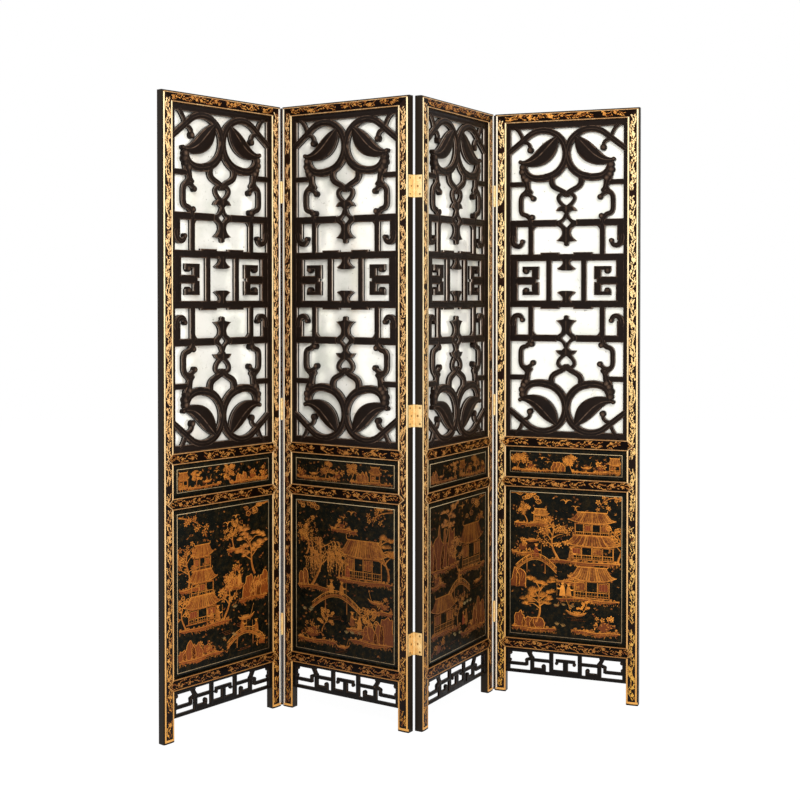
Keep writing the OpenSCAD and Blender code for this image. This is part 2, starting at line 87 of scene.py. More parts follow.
# The fret's drawing grid, and the widths of its members
FRET_Z = (FRET[0] + FRET[1]) / 2
GRID_X = 2 * HALF_W / 48
GRID_Z = (FRET[1] - FRET[0]) / 124
SCROLL, STRAP, UPRIGHT, CROSS = 22.0, 11.4, 16.6, 21.8
BORDER_SIDE, BORDER_TOP = 13.0, 20.0
SINK, SINK_FROM = 8.0, 30      # how far the fret's foot sinks, and from where

# Gilding: widths of the lines, and places from a leaf's side edge
LINE_W, RAIL_LINE, TOP_LINE = 5.2, 2.9, 3.0
OUTER_X, OUTER_W = 6.2, 4.8
LINE_FOOT, LINE_HEAD = 5.0, 5.2        # from the floor, and from the top
CAP_Z, CAP_W = 7.6, 6.4                # the caps at the feet
SHOULDER_X, SHOULDER_W = 17.0, 3.4
CREASE_X, CREASE_W, CREASE_RISE = 16.5, 0.8, 0.62
BEAD_W = 1.7
BAND_X, BAND_W, TOP_BAND = 20.4, 21.0, 19.0
BAND_FOOT, BAND_HEAD = 14.0, 18.0      # from the floor, and from the top

# How bright each leaf's gilding is, as painted light and shade: the pale and
# the deep of its pictures, its stiles' sprays and its rails'
PICTURE_PAINTED_LIGHT = ((0.78, 0.95), (0.56, 0.5), (0.36, 0.32), (1.16, 0.66))
SPRAY_PAINTED_LIGHT = (1.12, 0.92, 0.9, 1.35)
RAIL_PAINTED_LIGHT = (1.05, 0.95, 0.85, 1.4)
# How much painted shade darkens the gilding of each leaf's left and right
# stile; below zero it pales it, a painted highlight
STILE_PAINTED_SHADE = ((0.0, 0.15), (0.5, 0.08), (0.1, 0.55), (-0.15, -0.35))
# How pale each leaf's outer left and right lines are, a painted highlight;
# those by a closed fold are the palest
OUTER_HIGHLIGHTS = ((1.0, 2.1), (1.75, 1.2), (1.0, 2.1), (1.8, 1.0))

# The dark rods, painted shade in the closed folds: the fold and the radius of
# each
ROD_SIZES = ((1, 3.0), (3, 2.2))
ROD_GAP = 4.0          # left free at the floor and the top
PIN_GAP = 150.0        # heights that lie further apart are on two pins
# The lamps: name, place, size and power
LAMPS = (("key", (0.4, -4.3, 3.8), 2.4, 235.0),
         ("fill", (2.6, -4.6, 2.0), 3.0, 115.0))
AIM = (0.0, 0.0, 1.3)                      # where they point
EYE, EYE_TILT = (-0.0297, -3.8224, 1.2567), 89.076
EYE_LENS, EYE_SENSOR, EYE_SHIFT = 57.65, 36.0, -0.1046
SHADE = 0.5            # the surroundings' strength where they aren't seen
FLOOR_HALF, FLOOR_GLOW = 9.0, 1.06


def linear(code):
    """A written colour as light values: each pair of digits over 255, through
    the usual curve."""
    parts = np.array([int(code[i:i + 2], 16) / 255 for i in (1, 3, 5)])
    low, high = parts / 12.92, ((parts + 0.055) / 1.055) ** 2.4
    return tuple(float(v) for v in np.where(parts <= 0.04045, low, high))


# ---------------------------------------------------------------- settings

def length(name, text, value):
    """A size property, kept in metres and shown as a length."""
    return bpy.props.FloatProperty(name=name, description=text,
                                   default=value * MM, min=0.0, unit="LENGTH")


def colour(name, text, code):
    """A colour property with its written default."""
    return bpy.props.FloatVectorProperty(name=name, description=text, size=3,
                                         min=0.0, max=1.0, subtype="COLOR",
                                         default=linear(code))


class ScreenSizes(bpy.types.PropertyGroup):
    """Sizes of the worked surfaces."""
    line_rise: length("Gold line rise", "How far the gold lines stand up", 0.5)
    spray_rise: length("Spray rise", "How far the gilt sprays stand up", 0.55)
    picture_rise: length("Picture rise", "How far the pictures stand up", 0.6)
    fret_face: length("Fret face", "Depth of the fret's edges", 8.0)
    fret_back: length("Fret back", "Depth of the fret's flat back", 19.4)
    apron_back: length("Apron back", "Depth of the apron's flat back", 14.0)
    scroll_rise: length("Scroll rise", "How far the scrolls stand up", 3.4)
    bar_rise: length("Bar rise", "How far the carved bars stand up", 2.2)


class ScreenColours(bpy.types.PropertyGroup):
    """Colours of the finishes."""
    ground: colour("Band ground", "Dark brown of the gilt bands", "#1C0C04")
    black: colour("Black lacquer", "The frame's edges and backs", "#1F1811")
    fret: colour("Carved fret", "Dark brown of the carving", "#170D07")
    # pale of the carving's ridges: partly rubbed wear, partly painted
    # highlight
    fret_rub_and_sheen: colour("Worn carving", "Rubbed edges of the carving", "#8C705C")
    panel: colour("Panel lacquer", "Green-black of the fields", "#080906")
    line: colour("Gold lines", "Gold of the lines", "#E2A450")
    spray: colour("Gilt sprays", "Gold of the leaf sprays", "#F2AA42")
    spray_deep: colour("Deep gilt", "Orange brown of the sprays", "#7C3D09")
    picture: colour("Picture gilt", "Pale gold of the pictures", "#EA9738")
    picture_deep: colour("Deep picture gilt", "Orange of the roofs", "#763709")
    brass: colour("Brass", "Pale polished brass", "#FCE6AC")
    # partly painted reflection: the mirror's matt off-white
    glass: colour("Antique mirror", "Off-white of the aged mirror", "#F9F6ED")


# ---------------------------------------------------------------- shader kit

class Val:
    """One output socket. Arithmetic on it adds Math nodes."""

    def __init__(self, nodes, socket):
        self.nodes, self.socket = nodes, socket

    def _math(self, operation, *terms):
        return self.nodes.node("ShaderNodeMath", {"operation": operation},
                               dict(enumerate(terms)))

    def __add__(self, other):
        return self._math("ADD", self, other)

    def __mul__(self, other):
        return self._math("MULTIPLY", self, other)

    def __sub__(self, other):
        return self._math("SUBTRACT", self, other)

    def __rsub__(self, other):
        return self._math("SUBTRACT", other, self)

    __radd__, __rmul__ = __add__, __mul__

    def clamp(self, low, high):
        """Runs evenly from 0 at low to 1 at high, and stays there."""
        return self.nodes.node("ShaderNodeMapRange", {"clamp": True},
                               {0: self, 1: low, 2: high})


class Nodes:
    """A node tree under construction."""

    def __init__(self, tree):
        self.tree = tree

    def node(self, kind, settings=None, sockets=None, out=0):
        """Adds any node: its settings first, then its sockets' values or
        links. Gives the wrapped output."""
        made = self.tree.nodes.new(kind)
        for key, value in (settings or {}).items():
            setattr(made, key, value)
        for key, value in (sockets or {}).items():
            self.feed(made.inputs[key], value)
        return Val(self, made.outputs[out])

    def feed(self, socket, value):
        """Links or sets one socket."""
        if isinstance(value, Val):
            self.tree.links.new(value.socket, socket)
        elif socket.type == "RGBA" and len(value) == 3:
            socket.default_value = (*value, 1.0)
        else:
            socket.default_value = value

    def seen(self):
        """1 to the camera, in reflections and through glass, else 0."""
        rays = [self.node("ShaderNodeLightPath", out=f"Is {kind} Ray")
                for kind in ("Camera", "Glossy", "Transmission")]
        return (rays[0] + rays[1] + rays[2]).clamp(0.0, 1.0)


class Finish(Nodes):
    """A material under construction."""

    def __init__(self, name):
        self.material = bpy.data.materials.new(name)
        self.material.use_nodes = True
        super().__init__(self.material.node_tree)
        self.shader = self.tree.nodes["Principled BSDF"]
        self.place = self.node("ShaderNodeTexCoord", out="Object")

    def mix(self, factor, one, two):
        """Colour that runs from one to two with the factor."""
        return self.node("ShaderNodeMix", {"data_type": "RGBA"},
                         {0: factor, 6: one, 7: two}, out=2)

    def noise(self, scale, detail=4.0, rough=0.55, stretch=None):
        """Cloudy noise; scale is in patterns per metre."""
        where = self.place
        if stretch:
            where = self.node("ShaderNodeMapping", {},
                              {"Vector": where, "Scale": stretch})
        return self.node("ShaderNodeTexNoise", {},
                         {"Vector": where, "Scale": scale, "Detail": detail,
                          "Roughness": rough})

    def height(self, low, high):
        """How far up between two heights, in metres, the surface is."""
        up = self.node("ShaderNodeSeparateXYZ", {}, {0: self.place}, out=2)
        return up.clamp(low, high)

    def attribute(self, name):
        """A number kept on the mesh's points."""
        return self.node("ShaderNodeAttribute", {"attribute_name": name},
                         out="Fac")

    def facing(self, direction):
        """How squarely the surface looks along a direction, from its normal
        in the object's own space."""
        normal = self.node("ShaderNodeTexCoord", out="Normal")
        return self.node("ShaderNodeVectorMath", {"operation": "DOT_PRODUCT"},
                         {0: normal, 1: direction}, out="Value")

    def bump(self, height, strength, distance):
        """Small relief from a height."""
        made = self.node("ShaderNodeBump", {}, {"Strength": strength,
                         "Distance": distance, "Height": height}, out="Normal")
        self.feed(self.shader.inputs["Normal"], made)

    def surface(self, **sockets):
        """Sets the surface shader's sockets; underscores stand for spaces."""
        for key, value in sockets.items():
            self.feed(self.shader.inputs[key.replace("_", " ")], value)
        return self.material


def frame_lacquer(name, base, worn, edge=None, front=None, gloss=0.1):
    """Glossy lacquer: fine clouding of two near shades, faint rubbed patches
    and a slight ripple of the coats. With a front, surfaces that look that
    way have the base colour, which darkens towards the foot as painted shade,
    and all others the edge colour. gloss is how strongly it mirrors."""
    f = Finish(name)
    cloud = f.noise(34.0, 5.0).clamp(0.35, 0.7)
    grain = f.noise(420.0, 2.0).clamp(0.52, 0.78)
    tone = f.mix(cloud, tuple(v * 0.72 for v in base),
                 tuple(v * 1.35 for v in base))
    if front is not None:
        # painted shade: the faces darken towards the foot
        low = 1.0 - f.height(0.5, 1.4)
        tone = f.mix(low * 0.6, tone, tuple(v * 0.25 for v in base))
        tone = f.mix(f.facing(front).clamp(0.9, 0.97), edge, tone)
    rub = f.noise(60.0, 6.0, 0.7).clamp(0.6, 0.74) * grain
    tone = f.mix(rub * 0.5, tone, worn)
    f.bump(f.noise(150.0, 3.0), 0.12, 0.0006)
    return f.surface(Base_Color=tone, Roughness=0.3 + cloud * 0.14,
                     Specular_IOR_Level=gloss)


def carved_lacquer(name, base, worn):
    """Dark carved wood under old lacquer: the ridges and edges, marked on the
    mesh, are paler in broken patches, partly rubbed wear and partly painted
    highlight. Tones above 1.3 are a pale line along the strokes' sides, a
    painted reflection."""
    f = Finish(name)
    ridge = f.attribute("tone")
    patchy = f.noise(70.0, 4.0).clamp(0.34, 0.6)
    cloud = f.noise(26.0, 4.0).clamp(0.3, 0.75)
    tone = f.mix(cloud, tuple(v * 0.6 for v in base), base)
    # paler ridges and edges: partly rubbed wear, partly painted highlight
    tone = f.mix(ridge.clamp(0.6, 1.0) * patchy * 0.5, tone, worn)
    # painted reflection: the pale line down the strokes' sides
    tone = f.mix(ridge.clamp(1.3, 1.7) * 0.85, tone, linear("#CFC2B4"))
    f.bump(f.noise(240.0, 3.0, 0.6, (1.0, 1.0, 0.25)), 0.2, 0.0006)
    return f.surface(Base_Color=tone, Roughness=0.34 + patchy * 0.14,
                     Specular_IOR_Level=0.13)


def panel_lacquer(base):
    """Green-black lacquer with brown mottling, tiny pale specks and soft
    clouding."""
    f = Finish("panel_lacquer")
    cloud = f.noise(18.0, 5.0).clamp(0.3, 0.75)
    tone = f.mix(cloud, tuple(v * 0.7 for v in base),
                 tuple(v * 1.5 for v in base))
    mottle = f.noise(75.0, 6.0, 0.72).clamp(0.48, 0.72)
    tone = f.mix(mottle * 0.5, tone, linear("#38290F"))
    speck = f.noise(900.0, 1.0).clamp(0.7, 0.78)
    tone = f.mix(speck * 0.5, tone, linear("#5A5F4C"))
    f.bump(f.noise(210.0, 3.0), 0.1, 0.0005)
    return f.surface(Base_Color=tone, Roughness=0.26 + cloud * 0.12,
                     Specular_IOR_Level=0.055)


def gilding(name, pale, deep, metal=0.25, rough=0.42, painted_sheen=0.0, low=0.0,
            bare=0.74):
    """Old gilding: pale and deep gold mixed by the mesh's own tone and by
    cloudy wear, with dark pin holes. Tones below -0.5 are rust red and above
    1.4 grey green. With a painted sheen, it has neither, but pales towards the
    leaf's top and with tones above 1.3, both painted highlights. low is how
    much it darkens towards the foot, a painted shade, and bare how much is
    rubbed deep."""
    f = Finish(name)
    tone = f.attribute("tone")
    wear = f.noise(130.0, 5.0, 0.65)
    patch = f.noise(24.0, 3.0)
    fine = f.noise(700.0, 2.0)
    share = (tone * 0.8 + wear * 0.9 + patch * 0.7 - bare).clamp(0.0, 1.0)
    gold = f.mix(share, deep, pale)
    if painted_sheen:
        # painted highlight: paler towards the leaf's top, and pale cream where
        # the tone is above 1.3
        lift = f.height(0.0, 1.35) * (0.1 + share * 0.9) * painted_sheen
        gold = f.mix(lift, gold, linear("#FFECBC"))
        gold = f.mix(tone.clamp(1.3, 2.0) * painted_sheen, gold, linear("#FFF4E0"))
    else:
        gold = f.mix(tone.clamp(1.35, 1.45) * 0.8, gold, linear("#4A4A30"))
        gold = f.mix(tone.clamp(-0.5, -0.6) * 0.6, gold, linear("#6E2A10"))
    # painted shade: darker towards the foot
    if low:
        gold = f.mix((1.0 - f.height(0.2, 1.4)) * low, gold,
                     tuple(v * 0.4 for v in deep))
    rubbed = (wear * 0.5 + fine * 0.6).clamp(0.66, 0.76)
    gold = f.mix(rubbed * 0.75, gold, tuple(v * 0.25 for v in deep))
    f.bump(fine, 0.25, 0.0004)
    return f.surface(Base_Color=gold, Metallic=metal,
                     Roughness=rough + wear * 0.15, Specular_IOR_Level=0.3)


def antique_mirror(glass):
    """Aged silvering: faint warm and grey-green clouds, and dark specks where
    it has broken through. Only part of it mirrors; the rest is a matt
    off-white, a painted reflection of bright surroundings."""
    f = Finish("antique_mirror")
    cloud = f.noise(9.0, 6.0, 0.62)
    patch = f.noise(31.0, 5.0, 0.7)
    tone = f.mix(cloud.clamp(0.46, 0.7) * 0.9, glass, linear("#E0E1D4"))
    tone = f.mix(patch.clamp(0.6, 0.74) * 0.5, tone, linear("#D6D0BC"))
    speck = f.noise(130.0, 3.0, 0.75).clamp(0.635, 0.68) \
        * patch.clamp(0.4, 0.56)
    tone = f.mix(speck, tone, linear("#4B4436"))
    # painted reflection: most of the off-white is matt, not mirrored
    return f.surface(Base_Color=tone, Metallic=0.36 - speck * 0.3,
                     Roughness=0.11 + speck * 0.4,
                     Specular_IOR_Level=0.5)


def polished_brass(name, base, deep):
    """Brass with a cloudy tarnish, worn chasing and fine rubbing marks. It
    is deeper towards the foot, and on plates that face as the third leaf
    does, both painted shade."""
    f = Finish(name)
    cloud = f.noise(60.0, 4.0).clamp(0.4, 0.7)
    # painted shade: deeper towards the foot
    low = 1.0 - f.height(0.35, 1.5)
    chased = f.noise(330.0, 3.0, 0.6).clamp(0.44, 0.6)
    tone = f.mix(cloud * 0.45 + low * 0.45, base, deep)
    tone = f.mix(chased * 0.4, tone, deep)
    # painted shade: deeper on plates turned as the third leaf is
    turned = f.facing(tuple(-LEAVES[2].back)).clamp(0.7, 0.95)
    tone = f.mix(turned * 0.4, tone, deep)
    f.bump(f.noise(500.0, 2.0, 0.6, (1.0, 1.0, 0.1)), 0.1, 0.0003)
    return f.surface(Base_Color=tone, Metallic=0.55,
                     Roughness=0.26 + cloud * 0.16)


def fold_shadow():
    """Matt near-black of the rods in the closed folds: painted shade, a dark
    stand-in for the shadow in the gap between the leaves.
    """
    f = Finish("fold_shadow")
    cloud = f.noise(40.0, 3.0).clamp(0.3, 0.7)
    return f.surface(Base_Color=f.mix(cloud, linear("#120803"),
                                      linear("#241308")),
                     Roughness=1.0, Specular_IOR_Level=0.0)


# ---------------------------------------------------------------- mesh kit

class Leaf:
    """One leaf's own frame, in millimetres: x across from its left edge, y
    back from its face and z up."""

    def __init__(self, number, turn):
        self.name = f"leaf_{number}"
        self.number = number
        angle = math.radians(turn)
        self.across = np.array([math.cos(angle), math.sin(angle), 0.0])
        self.back = np.array([-math.sin(angle), math.cos(angle), 0.0])
        mesh = frame["nodes"][self.name + "_left_stile"].data
        points = np.empty(len(mesh.vertices) * 3)
        mesh.vertices.foreach_get("co", points)
        points = points.reshape(-1, 3)
        self.origin = (self.across * (points @ self.across).min()
                       + self.back * ((points @ self.back).max()
                                      - LEAF_T * MM))

    def out(self, points):
        """The leaf's points in the shared frame, in metres."""
        p = np.asarray(points) * MM
        up = np.array([0.0, 0.0, 1.0])
        return (self.origin + p[:, :1] * self.across + p[:, 1:2] * self.back
                + p[:, 2:] * up)


LEAVES = [Leaf(i + 1, turn) for i, turn in enumerate(TURNS)]


class Shell:
    """Closed surfaces gathered into one mesh, with a tone on every point."""

    def __init__(self):
        self.points, self.tones, self.loops, self.sizes = [], [], [], []
        self.count = 0

    def add(self, points, tones, groups):
        """One closed surface. groups are arrays of faces of equal size. Where
        its signed volume, the sum over its faces' fans, is negative, they look
        inwards, and every face is turned over."""
        p = points - points.mean(0)
        volume = 0.0
        for faces in groups:
            for j in range(1, faces.shape[1] - 1):
                a, b, c = (p[faces[:, k]] for k in (0, j, j + 1))
                volume += float((a * np.cross(b, c)).sum())
        for faces in groups:
            turned = faces[:, ::-1] if volume < 0 else faces
            self.loops.append(turned.ravel() + self.count)
            self.sizes.append(np.full(len(faces), faces.shape[1]))
        self.points.append(points)
        self.tones.append(np.broadcast_to(tones, len(points)))
        self.count += len(points)

    def tube(self, grid, tones):
        """Rings of points joined one to the next, with a face at each end."""
        n, m = grid.shape[:2]
        at = np.arange(n * m).reshape(n, m)
        one, two = at[:-1], at[1:]
        sides = np.stack([one, two, np.roll(two, -1, 1),
                          np.roll(one, -1, 1)], -1).reshape(-1, 4)
        caps = np.stack([at[0], at[-1][::-1]])
        self.add(grid.reshape(-1, 3), np.broadcast_to(tones, (n, m)).ravel(),
                 [sides, caps])

    def piece(self, name, leaf, material, slot, sharp=38.0):
        """The gathered mesh as an object that rides on its leaf. With a
        body's name for the leaf, its points are in the shared frame already,
        in metres."""
        mesh = bpy.data.meshes.new(name)
        points = np.concatenate(self.points)
        body = leaf
        if isinstance(leaf, Leaf):
            points, body = leaf.out(points), leaf.name
        loops, sizes = np.concatenate(self.loops), np.concatenate(self.sizes)
        mesh.vertices.add(len(points))
        mesh.vertices.foreach_set("co", points.astype(np.float32).ravel())
        mesh.loops.add(len(loops))
        mesh.loops.foreach_set("vertex_index", loops.astype(np.int32))
        mesh.polygons.add(len(sizes))
        starts = np.concatenate([[0], np.cumsum(sizes)[:-1]])
        mesh.polygons.foreach_set("loop_start", starts.astype(np.int32))
        mesh.update(calc_edges=True)
        tone = mesh.attributes.new("tone", "FLOAT", "POINT")
        tone.data.foreach_set("value",
                              np.concatenate(self.tones).astype(np.float32))
        mesh.polygons.foreach_set("use_smooth", np.ones(len(sizes), bool))
        mesh.set_sharp_from_angle(angle=math.radians(sharp))
        if mesh.validate():
            raise RuntimeError(f"{name}: its mesh has faulty faces")
        mesh.materials.append(material)
        made = bpy.data.objects.new(name, mesh)
        bpy.context.scene.collection.objects.link(made)
        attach(made, body)
        return made


def bez(a, b, c, d, n=20):
    """A cubic curve: the four points weighted by the terms of (1-t + t)^3."""
    t = np.linspace(0.0, 1.0, n + 1)[:, None]
    a, b, c, d = (np.array(p, float) for p in (a, b, c, d))
    return ((1 - t) ** 3 * a + 3 * (1 - t) ** 2 * t * b
            + 3 * (1 - t) * t ** 2 * c + t ** 3 * d)


def arc(centre, radius, start, end, n=40):
    """Part of a circle, by angles in degrees."""
    a = np.radians(np.linspace(start, end, n + 1))
    ring = np.stack([np.cos(a), np.sin(a)], 1)
    return np.array(centre, float) + radius * ring


def chain(*parts):
    """Several runs of points as one."""
    return np.concatenate([np.atleast_2d(np.array(p, float)) for p in parts])


def even(path, step):
    """Points a set distance apart: the length is summed along the path and
    its points are read back at even lengths."""
    p = np.asarray(path, float)
    run = np.concatenate([[0.0], np.cumsum(np.hypot(*np.diff(p, axis=0).T))])
    s = np.linspace(0.0, run[-1], max(2, int(math.ceil(run[-1] / step)) + 1))
    return np.stack([np.interp(s, run, p[:, i]) for i in range(2)], 1)


def stroke(path, start_w, end_w, round_start=True, round_end=True, step=3.2):
    """The two edges of a brushed line: its points moved along their normals
    by half the width, which changes evenly along it and closes on a half
    circle at a round end."""
    p = even(path, step)
    d = np.gradient(p, axis=0)
    d /= np.linalg.norm(d, axis=1, keepdims=True)
    half = np.linspace(start_w, end_w, len(p)) / 2
    turn = np.linspace(0.0, np.pi / 2, 7)[:-1]
    shrink, reach = np.maximum(np.sin(turn), 0.02), np.cos(turn)[:, None]
    if round_start:
        p = np.concatenate([p[0] - d[0] * half[0] * reach, p])
        d = np.concatenate([np.repeat(d[:1], 6, 0), d])
        half = np.concatenate([half[0] * shrink, half])
    if round_end:
        p = np.concatenate([p, p[-1] + d[-1] * half[-1] * reach[::-1]])
        d = np.concatenate([d, np.repeat(d[-1:], 6, 0)])
        half = np.concatenate([half, half[-1] * shrink[::-1]])
    n = np.stack([-d[:, 1], d[:, 0]], 1) * half[:, None]
    return p + n, p - n


def mitred(path, width, closed=False):
    """The two edges of a line with sharp corners: each point moved along the
    sum of the normals beside it, over one plus their product."""
    p = np.array(path, float)
    if closed:
        p = np.concatenate([p[-1:], p, p[:1], p[1:2]])
    d = np.diff(p, axis=0)
    d /= np.linalg.norm(d, axis=1, keepdims=True)
    n = np.stack([-d[:, 1], d[:, 0]], 1)
    before = np.concatenate([n[:1], n])
    after = np.concatenate([n, n[-1:]])
    share = 1 + (before * after).sum(1, keepdims=True)
    m = (before + after) / share * width / 2
    if closed:
        p, m = p[1:-1], m[1:-1]
    return p + m, p - m


# Each row is a place across the strip, its share of the rise, and its tone; on
# the carving the tone marks the paler places, partly rubbed wear and partly
# painted highlight.
CARVED = np.array([[0, 0, .7], [.05, .5, 1], [.12, .62, .7], [.2, .44, 0],
                   [.34, .82, .1], [.5, 1, .8], [.66, .82, .1], [.8, .44, 0],
                   [.88, .62, .7], [.95, .5, 1], [1, 0, .7]])
VEINED = np.array([[0, 0, .6], [.05, .5, 1], [.12, .62, .2], [.26, .7, 0],
                   [.36, 1, 1], [.46, .74, .1], [.64, .95, .3], [.8, .7, 0],
                   [.94, .5, .8], [1, 0, .6]])
ROUNDED = np.array([[0, 0, .5], [.14, .72, .8], [.5, 1, 1], [.86, .72, .8],
                    [1, 0, .5]])


def ribbon(shell, edges, face, back, rise, section, full=10.0, tone=None,
           walls=()):
    """A moulded strip between two edges, joined straight across. The section
    gives how much of the rise each place across has; a strip narrower than
    full stands up less. face and back are depths, or functions of x and z.
    walls are rows down both sides: a depth behind the face, and a tone."""
    a, b = edges
    at, share, mark = section.T
    across = a[:, None] + (b - a)[:, None] * at[None, :, None]
    width = np.linalg.norm(b - a, axis=1, keepdims=True)
    lift = rise * np.minimum(1.0, width / full) ** 0.7
    level = face(across[..., 0], across[..., 1]) if callable(face) else face
    front = np.stack([across[..., 0], level - lift * share, across[..., 1]],
                     -1)
    rear = np.stack([b, a], 1)
    depth = back(rear[..., 0], rear[..., 1]) if callable(back) \
        else np.full(rear.shape[:2], back)
    rear = np.stack([rear[..., 0], depth, rear[..., 1]], -1)
    marks = np.concatenate([mark, [0.0, 0.0]]) if tone is None else tone
    if not walls:
        shell.tube(np.concatenate([front, rear], 1), marks)
        return
    def side(edge, rows):
        return np.stack([np.stack([edge[:, 0], np.full(len(edge), face + d),
                                   edge[:, 1]], -1) for d, _ in rows], 1)
    stripe = [t for _, t in walls]
    shell.tube(np.concatenate([front, side(b, walls), rear,
                               side(a, walls[::-1])], 1),
               np.concatenate([mark, stripe, [0, 0], stripe[::-1]]))


# Depths behind the face and tones down the side of a bar and of a scroll;
# tones above 1.3 are a pale band of painted reflection.
WALLS = ((1.0, 0.0), (1.5, 1.85), (4.2, 1.85), (4.8, 0.0))
SCROLL_WALLS = ((2.0, 0.0), (2.4, 1.5), (3.8, 1.5), (4.2, 0.0))
# A bar's rows from its edge in: the share of its half width, the share of the
# rise, and the tone, which marks the paler places: partly rubbed wear, partly
# painted highlight.
STEPS = ((0, 0, .7), (.1, .5, 1), (.24, .62, .5), (.4, .44, 0), (.68, .82, 0),
         (.97, 1, .35))


def block(shell, x0, x1, z0, z1, face, back, rise, full=10.0, walls=()):
    """A moulded bar with hipped ends: rectangles one inside the next, each
    drawn in by a share of the half width and lifted by the section."""
    half = min(x1 - x0, z1 - z0) / 2
    lift = rise * min(1.0, 2 * half / full)
    rows = [(0.0, back, 0.0)] + [(0.0, face + d, t) for d, t in walls[::-1]]
    rows += [(inset * half, face - share * lift, t)
             for inset, share, t in STEPS]
    rings = [[[x0 + i, y, z0 + i], [x1 - i, y, z0 + i], [x1 - i, y, z1 - i],
              [x0 + i, y, z1 - i]] for i, y, _ in rows]
    shell.tube(np.array(rings, float), np.array([[t] for _, _, t in rows]))


def boss(shell, x, z, radius, face, back, rise, n=20):
    """A round button: circles that draw in as the cosine of a quarter turn
    while they rise as its sine."""
    a = np.linspace(0.0, 2 * np.pi, n, endpoint=False)
    t = np.linspace(0.0, np.pi / 2 * 0.96, 6)
    r = np.concatenate([[1.0], np.cos(t)]) * radius
    y = np.concatenate([[back], face - rise * np.sin(t)])
    grid = np.stack([x + r[:, None] * np.cos(a), np.repeat(y[:, None], n, 1),
                     z + r[:, None] * np.sin(a)], -1)
    # tones pale to the top: partly rubbed wear, partly painted highlight
    shell.tube(grid, np.linspace(0.2, 0.9, 7)[:, None])


# ---------------------------------------------------------------- carving

def grid_points(points):
    """Points given in steps of the fret's drawing grid, in millimetres."""
    return np.asarray(points, float) * [GRID_X, GRID_Z]


def loop_forms():
    """The big leaf loops: (edges, section, lift) of each, one quarter."""
    loop = chain([[22.9, 50.6]], arc((9.5, 49.4), 9.3, 48, 262))
    sweep = bez([7.4, 40.3], [12.8, 39.1], [17, 40.4], [17.2, 45.5])
    upper = bez([19.2, 47.1], [13.2, 46.4], [12.2, 54], [3.9, 56.4], 26)
    lower = bez([3.3, 55.3], [2.6, 47.4], [9.7, 42.5], [18, 45.3], 26)[::-1]
    brace = bez([20.4, 60], [19.2, 59], [18.2, 57.6], [17.5, 55.4])
    curl = bez([17.4, 54.4], [15.5, 54.4], [14.1, 53.2], [14.7, 51.2])
    hook = bez([16.6, 39.9], [15.3, 37.6], [16.1, 36], [14.3, 34.7])
    arm = bez([17.4, 33.5], [15.6, 34.6], [14.5, 33.4], [13.4, 32.2])
    scroll = chain(bez([15.7, 35.6], [16.3, 33.8], [18.3, 34.3], [18.3, 31]),
                   bez([18.3, 28.4], [18.3, 25.8], [17.2, 25.9], [15.9, 25.5]),
                   [[14.7, 24.4], [14.2, 22.4]])
    low_hook = bez([21.6, 16.6], [21.8, 12.9], [18, 12.4], [17.7, 15.4])
    ogee = bez([5.8, 40], [6.6, 35.2], [2.6, 36.3], [-0.4, 33.2])
    link = bez([-0.4, 33.9], [4.5, 33.9], [4.5, 30.8], [-0.5, 28])
    g = grid_points
    return [
        (stroke(g(loop), SCROLL * .8, SCROLL * 1.15), CARVED, 1.0),
        (stroke(g(sweep), SCROLL * 1.15, SCROLL * .9), CARVED, .92),
        ((g(upper), g(lower)), VEINED, 1.1),
        (stroke(g(brace), STRAP, STRAP), CARVED, .8),
        (stroke(g(curl), STRAP, STRAP), CARVED, .8),
        (stroke(g(hook), SCROLL * 1.15, STRAP * 1.1), CARVED, .9),
        (stroke(g(arm), UPRIGHT * .85, STRAP * 1.1), CARVED, .95),
        (stroke(g(scroll), UPRIGHT * .9, UPRIGHT * .9), CARVED, .85),
        (stroke(g(low_hook), STRAP * 1.8, STRAP * 1.05), CARVED, .85),
        (stroke(g(ogee), UPRIGHT * 1.15, STRAP * 1.3), CARVED, .9),
        (stroke(g(link), STRAP, STRAP), CARVED, .8),
    ]


def centre_forms():
    """The wing, spindle and finial on the middle line, upper half: (left
    edge, right edge) of each, and of the strip beside the diamond hole."""
    wing = chain([[.02, 29], [1.6, 29]], bez([1.6, 29], [2.6, 28.9],
                 [3.6, 28.4], [4.2, 27], 8), bez([4.2, 27], [3.2, 27.8],
                 [2, 27.3], [1, 26.2], 8), [[.02, 26]])
    above = chain([[.02, 27]],
                  bez([.3, 27], [.9, 26.2], [1.1, 25], [1.7, 24.2], 8))
    below = chain(bez([2.7, 20.5], [1.9, 20.1], [1.8, 19.3], [1.7, 18.5], 8),
                  bez([1.8, 18.1], [2, 17.1], [2.9, 16.3], [4.1, 15.4], 8),
                  [[1.3, 15.0], [.9, 14.6], [.9, 13.7], [.02, 13.3]])
    finial = chain([[2.5, 8.4]],
                   bez([2.3, 8.1], [.9, 7.5], [1, 6.2], [3.7, 4.7], 10),
                   [[3.1, 4.2], [1.7, 3.9], [.02, 4.1]])
    forms = []
    for side in (wing, above, below, finial):
        right = grid_points(side)
        forms.append((right * [-1, 1], right))
    # beside the diamond hole the strip runs from the hole to the outline
    outer = chain(bez([1.7, 24.2], [2.3, 23.6], [3.2, 23.3], [4.3, 23.2], 6),
                  bez([4.5, 21.6], [3.9, 21.3], [3.2, 20.9], [2.7, 20.5], 6))
    t = np.linspace(0.0, 1.0, len(outer))
    inner = np.stack([np.interp(t, [0, .5, 1], [0, 1.8, 0]),
                      np.interp(t, [0, .5, 1], [24.2, 22.3, 20.5])], 1)
    return forms, (grid_points(inner), grid_points(outer))


